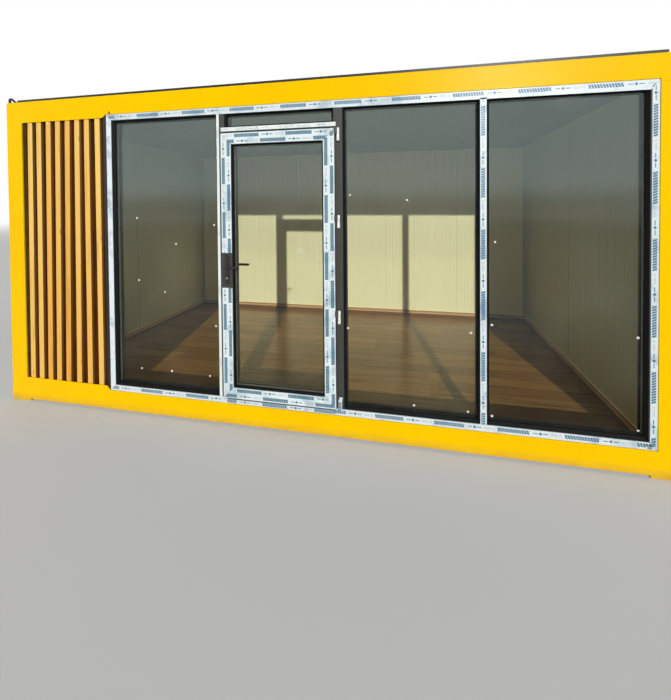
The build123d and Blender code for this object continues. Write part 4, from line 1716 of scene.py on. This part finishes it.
@dataclass
class ProtectiveFilm(Assembly):
    """White printed film still on the profiles' outer faces."""

    thick: float = 0.5 * MM
    lift: float = 0.05 * MM
    edge: float = 1.5 * MM
    lock_strip: float = 22 * MM
    joint: float = 0.9 * MM
    head_sag: float = 14 * MM
    bare_jamb: float = 8 * MM
    sill_at_door: float = 16 * MM
    transom_depth: float = 30 * MM
    transom_rise: float = 4 * MM
    transom_reach: float = 28 * MM
    transom_over: float = 18 * MM
    bare_stile: Span = (1.078, 1.346)
    flaps: Sequence[FilmFlap] = (
        FilmFlap("film_flap_foot", (0.394, 0.421), (0.196, 0.318), 7 * MM, 9 * MM),
        FilmFlap("film_flap_corner", (2.352, 2.409), (0.178, 0.204), 3 * MM, 7 * MM),
    )

    def build(self) -> None:
        """Make every strip and every loose end."""
        for strip in self._window_strips():
            self._strip(strip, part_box("window_head")[0].y)
        for strip in self._leaf_strips():
            self._strip(strip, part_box("leaf_rail_top")[0].y)
        for flap in self.flaps:
            self._flap(flap)

    def _within(self, profile: Sequence[Vector], axis: Axis) -> Span:
        """Find the span of a profile's face along an axis, without its edges."""
        return profile[0][axis.value] + self.edge, profile[1][axis.value] - self.edge

    def _window_strips(self) -> List[FilmStrip]:
        """Lay out the strips on the fixed frame.

        Returns:
            The strips.
        """
        head, sill, left, right, lock, plain, hinge, bar = (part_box(node) for node in (
            "window_head", "window_sill", "window_jamb_left", "window_jamb_right", "mullion_lock",
            "mullion_plain", "mullion_hinge", "transom_bar"))
        full_x, full_z = self._within(head, Axis.X), self._within(left, Axis.Z)
        head_z, sill_z = self._within(head, Axis.Z), self._within(sill, Axis.Z)
        inner_z = (sill[1].z, head[0].z)
        door_x = (lock[1].x, hinge[0].x)
        door_z = (sill_z[0], sill_z[1] - self.sill_at_door)
        right_x = (right[0].x + self.bare_jamb, right[1].x - self.edge)
        lock_x = (lock[0].x, lock[0].x + self.lock_strip)
        bar_x = (door_x[0] - self.transom_reach, door_x[1] + self.transom_over)
        bar_top = bar[1].z + self.transom_rise
        bar_z = (bar_top - self.transom_depth, bar_top)
        return [
            FilmStrip("film_head", full_x, head_z, Axis.X, (1, 1), sag=self.head_sag),
            FilmStrip("film_sill_left", (full_x[0], door_x[0]), sill_z, Axis.X, (-1, 0)),
            FilmStrip("film_sill_door", door_x, door_z, Axis.X),
            FilmStrip("film_sill_right", (door_x[1], full_x[1]), sill_z, Axis.X, (0, -1)),
            FilmStrip("film_jamb_left", self._within(left, Axis.X), full_z, Axis.Z, (1, 1),
                      FilmLook.STREAKED),
            FilmStrip("film_jamb_right", right_x, full_z, Axis.Z, (-1, -1)),
            FilmStrip("film_mullion_lock", lock_x, inner_z, Axis.Z, look=FilmLook.WHITE),
            FilmStrip("film_mullion_plain", self._within(plain, Axis.X), inner_z, Axis.Z),
            FilmStrip("film_transom_bar", bar_x, bar_z, Axis.X, look=FilmLook.FAINT),
        ]

    def _leaf_strips(self) -> List[FilmStrip]:
        """Lay out the strips on the door leaf, with the lock's stretch of the stile left bare.

        Returns:
            The strips.
        """
        top, bottom, lock, hinge = (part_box(node) for node in (
            "leaf_rail_top", "leaf_rail_bottom", "leaf_stile_lock", "leaf_stile_hinge"))
        x, lock_x, hinge_x = (self._within(profile, Axis.X) for profile in (top, lock, hinge))
        top_z, bottom_z = self._within(top, Axis.Z), self._within(bottom, Axis.Z)
        bare_from, bare_to = self.bare_stile
        strips = (
            ("film_leaf_top", x, top_z, Axis.X, (1, 1)),
            ("film_leaf_bottom", x, bottom_z, Axis.X, (-1, -1)),
            ("film_leaf_hinge_side", hinge_x, (bottom_z[0], top_z[1]), Axis.Z, (-1, -1)),
            ("film_leaf_lock_upper", lock_x, (bare_to, top_z[1]), Axis.Z, (0, 1)),
            ("film_leaf_lock_lower", lock_x, (bottom_z[0], bare_from), Axis.Z, (1, 0)),
        )
        return [FilmStrip(*strip, FilmLook.DOUBLE, Body.DOOR) for strip in strips]

    def _strip(self, strip: FilmStrip, face: float) -> None:
        """Model one strip, cut its mitres and map its print.

        Args:
            strip: What the strip is.
            face: Where the profile's outer face lies.
        """
        back = face - self.lift
        piece = Bench.slab(strip.name, (strip.x[0], back - self.thick, strip.z[0]),
                           (strip.x[1], back, strip.z[1]))
        for end, sign in enumerate(strip.mitred):
            if sign:
                self._mitre(piece, strip, end, sign)
        if strip.sag:
            middle_x, middle_z = sum(strip.x) / 2, sum(strip.z) / 2
            Bench.shift_points(piece, lambda point: point.x > middle_x and point.z < middle_z,
                               (0, 0, -strip.sag))
        self._map(piece, strip)
        Bench.hand_over(piece, strip.body, None, self.finishes.films[strip.look])

    def _mitre(self, piece: bpy.types.Object, strip: FilmStrip, end: int, sign: int) -> None:
        """Cut one end at 45 degrees, a little back from the corner's own line.

        Args:
            piece: The strip's mesh.
            strip: What the strip is.
            end: Nought for its lower end and one for its upper end.
            sign: Which side is the longer one.
        """
        outward = -1 if end == 0 else 1
        if strip.along is Axis.X:
            corner = (strip.x[end], 0, strip.z[1] if sign > 0 else strip.z[0])
            normal = (outward, 0, -sign)
        else:
            corner = (strip.x[0] if sign > 0 else strip.x[1], 0, strip.z[end])
            normal = (sign, 0, outward)
        back = Vector(corner) - Vector(normal).normalized() * self.joint
        Bench.cut(piece, back, normal, drop_outer=True)

    def _flap(self, flap: FilmFlap) -> None:
        """Model a loose end: a strip divided into rows that lean further and further out.

        Args:
            flap: What the loose end is.
        """
        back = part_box("window_sill")[0].y - self.lift - self.thick
        piece = Bench.slab(flap.name, (flap.x[0], back - self.thick, flap.z[0]),
                           (flap.x[1], back, flap.z[1]))
        step = (flap.z[1] - flap.z[0]) / flap.rows
        for row in range(1, flap.rows):
            Bench.cut(piece, (0, 0, flap.z[0] + row * step), (0, 0, 1))
        for row in range(1, flap.rows + 1):
            level = flap.z[0] + (row - 0.5) * step
            share = row / flap.rows
            out = (flap.lean + 2 * flap.curl * share) / flap.rows
            Bench.shift_points(piece, lambda point: point.z > level, (out * share, -out, 0))
        self._map(piece, FilmStrip(flap.name, flap.x, flap.z, Axis.Z))
        Bench.hand_over(piece, Body.CABIN, None, self.finishes.films[FilmLook.PRINTED])

    @staticmethod
    def _map(piece: bpy.types.Object, strip: FilmStrip) -> None:
        """Give the film its map: distance along it, and distance from its middle.

        Args:
            piece: The strip's mesh.
            strip: What the strip is.
        """
        mesh = piece.data
        for layer in list(mesh.uv_layers):
            mesh.uv_layers.remove(layer)
        layer = mesh.uv_layers.new(name="film")
        middle_x, middle_z = sum(strip.x) / 2, sum(strip.z) / 2
        for loop in mesh.loops:
            place = mesh.vertices[loop.vertex_index].co
            if strip.along is Axis.X:
                layer.data[loop.index].uv = (place.x - strip.x[0], place.z - middle_z)
            else:
                layer.data[loop.index].uv = (place.z - strip.z[0], middle_x - place.x)


@dataclass(frozen=True)
class Lamp:
    """One distant lamp: the way to it, its strength, and how wide it looks in degrees."""

    name: str
    shines_from: Tuple[float, float, float]
    strength: float
    width: float
    distance: float = 20.0

    def build(self) -> None:
        """Hang the lamp and turn it to the cabin."""
        toward = Vector(self.shines_from).normalized()
        Bench.clear()
        bpy.ops.object.light_add(type="SUN", location=toward * self.distance)
        lamp = bpy.context.object
        lamp.name = self.name
        lamp.rotation_mode = "QUATERNION"
        lamp.rotation_quaternion = toward.to_track_quat("Z", "Y")
        lamp.data.energy = self.strength
        lamp.data.angle = math.radians(self.width)


@dataclass
class Studio:
    """Pale floor, plain light and the camera at the photograph's place."""

    camera_at: Tuple[float, float, float] = (0.944, -3.3185, 1.711)
    yaw: float = -9.56
    pitch: float = -0.85
    roll: float = -0.37
    focal_pixels: float = 304.0
    centre_pixel: Span = (362.8, 208.7)
    photo_size: Tuple[int, int] = (671, 700)
    sensor: float = 36.0
    reach: float = 200.0
    lamps: Sequence[Lamp] = (
        Lamp("key_lamp", (0.26, -1.0, 0.376), 2.85, 0.9),
        Lamp("back_fill_lamp", (-1.0, 0.85, 0.7), 1.15, 55.0),
        Lamp("side_fill_lamp", (1.0, 0.2, 0.6), 0.8, 55.0),
    )
    white: Colour = (1.0, 1.0, 1.0)
    sky: float = 0.1
    floor_colour: Colour = (0.46, 0.46, 0.455)
    floor_shade: Colour = (0.43, 0.43, 0.425)
    floor_radius: float = 60.0
    floor_sides: int = 96
    fade: Span = (18.0, 50.0)
    floor_glow: float = 0.27

    def build(self) -> None:
        """Make the camera, the lights and the floor."""
        self._camera()
        for lamp in self.lamps:
            lamp.build()
        self._world()
        self._floor()

    def _camera(self) -> None:
        """Place the camera by its measured turn, and shift its frame as the photograph's is."""
        yaw, pitch, roll = (math.radians(angle) for angle in (self.yaw, self.pitch, self.roll))
        ahead = Vector((math.sin(yaw) * math.cos(pitch), math.cos(yaw) * math.cos(pitch), math.sin(pitch)))
        level = Vector((math.cos(yaw), -math.sin(yaw), 0.0))
        upward = level.cross(ahead)
        right = math.cos(roll) * level + math.sin(roll) * upward
        up = -math.sin(roll) * level + math.cos(roll) * upward
        turn = Matrix((right, up, -ahead)).transposed().to_4x4()
        Bench.clear()
        bpy.ops.object.camera_add()
        camera = bpy.context.object
        camera.name = "photo_camera"
        camera.matrix_world = Matrix.Translation(self.camera_at) @ turn
        width, height = self.photo_size
        longer = max(width, height)
        camera.data.sensor_width = self.sensor
        camera.data.lens = self.focal_pixels * self.sensor / longer
        camera.data.shift_x = (width / 2 - self.centre_pixel[0]) / longer
        camera.data.shift_y = (self.centre_pixel[1] - height / 2) / longer
        camera.data.clip_end = self.reach
        bpy.context.scene.camera = camera

    def _world(self) -> None:
        """Make an even dome that looks white to the camera, in gloss and through glass."""
        world = bpy.data.worlds.new("studio_dome")
        bpy.context.scene.world = world
        world.use_nodes = True
        graph = Graph(world.node_tree)
        strength = self.sky + graph.seen() * (1.0 - self.sky)
        dome = graph.node("ShaderNodeBackground", inputs={"Color": self.white, "Strength": strength})
        graph.node("ShaderNodeOutputWorld", inputs={"Surface": dome})
        bpy.context.scene.view_settings.view_transform = "Standard"

    def _floor(self) -> None:
        """Lay a wide pale disc that fades to white far from the cabin."""
        graph = FinishGraph("studio_floor")
        x, y, _ = graph.parts()
        colour = graph.mix(graph.noise(1.3, 3.0) * 0.3, self.floor_colour, self.floor_shade)
        ground = graph.node("ShaderNodeBsdfDiffuse", inputs={"Color": colour})
        white = graph.node("ShaderNodeEmission", inputs={"Color": self.white, "Strength": 1.0})
        far = ((x * x + y * y) ** 0.5).ramp(*self.fade)
        share = graph.seen() * (self.floor_glow + far * (1.0 - self.floor_glow))
        graph.close(graph.node("ShaderNodeMixShader", inputs={0: share, 1: ground, 2: white}))
        Bench.clear()
        bpy.ops.mesh.primitive_circle_add(vertices=self.floor_sides, radius=self.floor_radius,
                                          fill_type="NGON")
        floor = bpy.context.object
        floor.name = "studio_floor"
        floor.data.materials.append(graph.material)


def main() -> None:
    """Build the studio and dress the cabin."""
    logging.basicConfig(level=logging.INFO, format="%(name)s: %(message)s")
    Studio().build()
    finishes = Finishes()
    for assembly in (RingFrame, Shell, RoofAndFloor, WallSwitch, SlattedBay, WindowWall, DoorLeaf,
                     Glazing, ProtectiveFilm):
        assembly(finishes).build()
        log.info("%s is done", assembly.__name__)


if __name__ == "__main__":
    main()
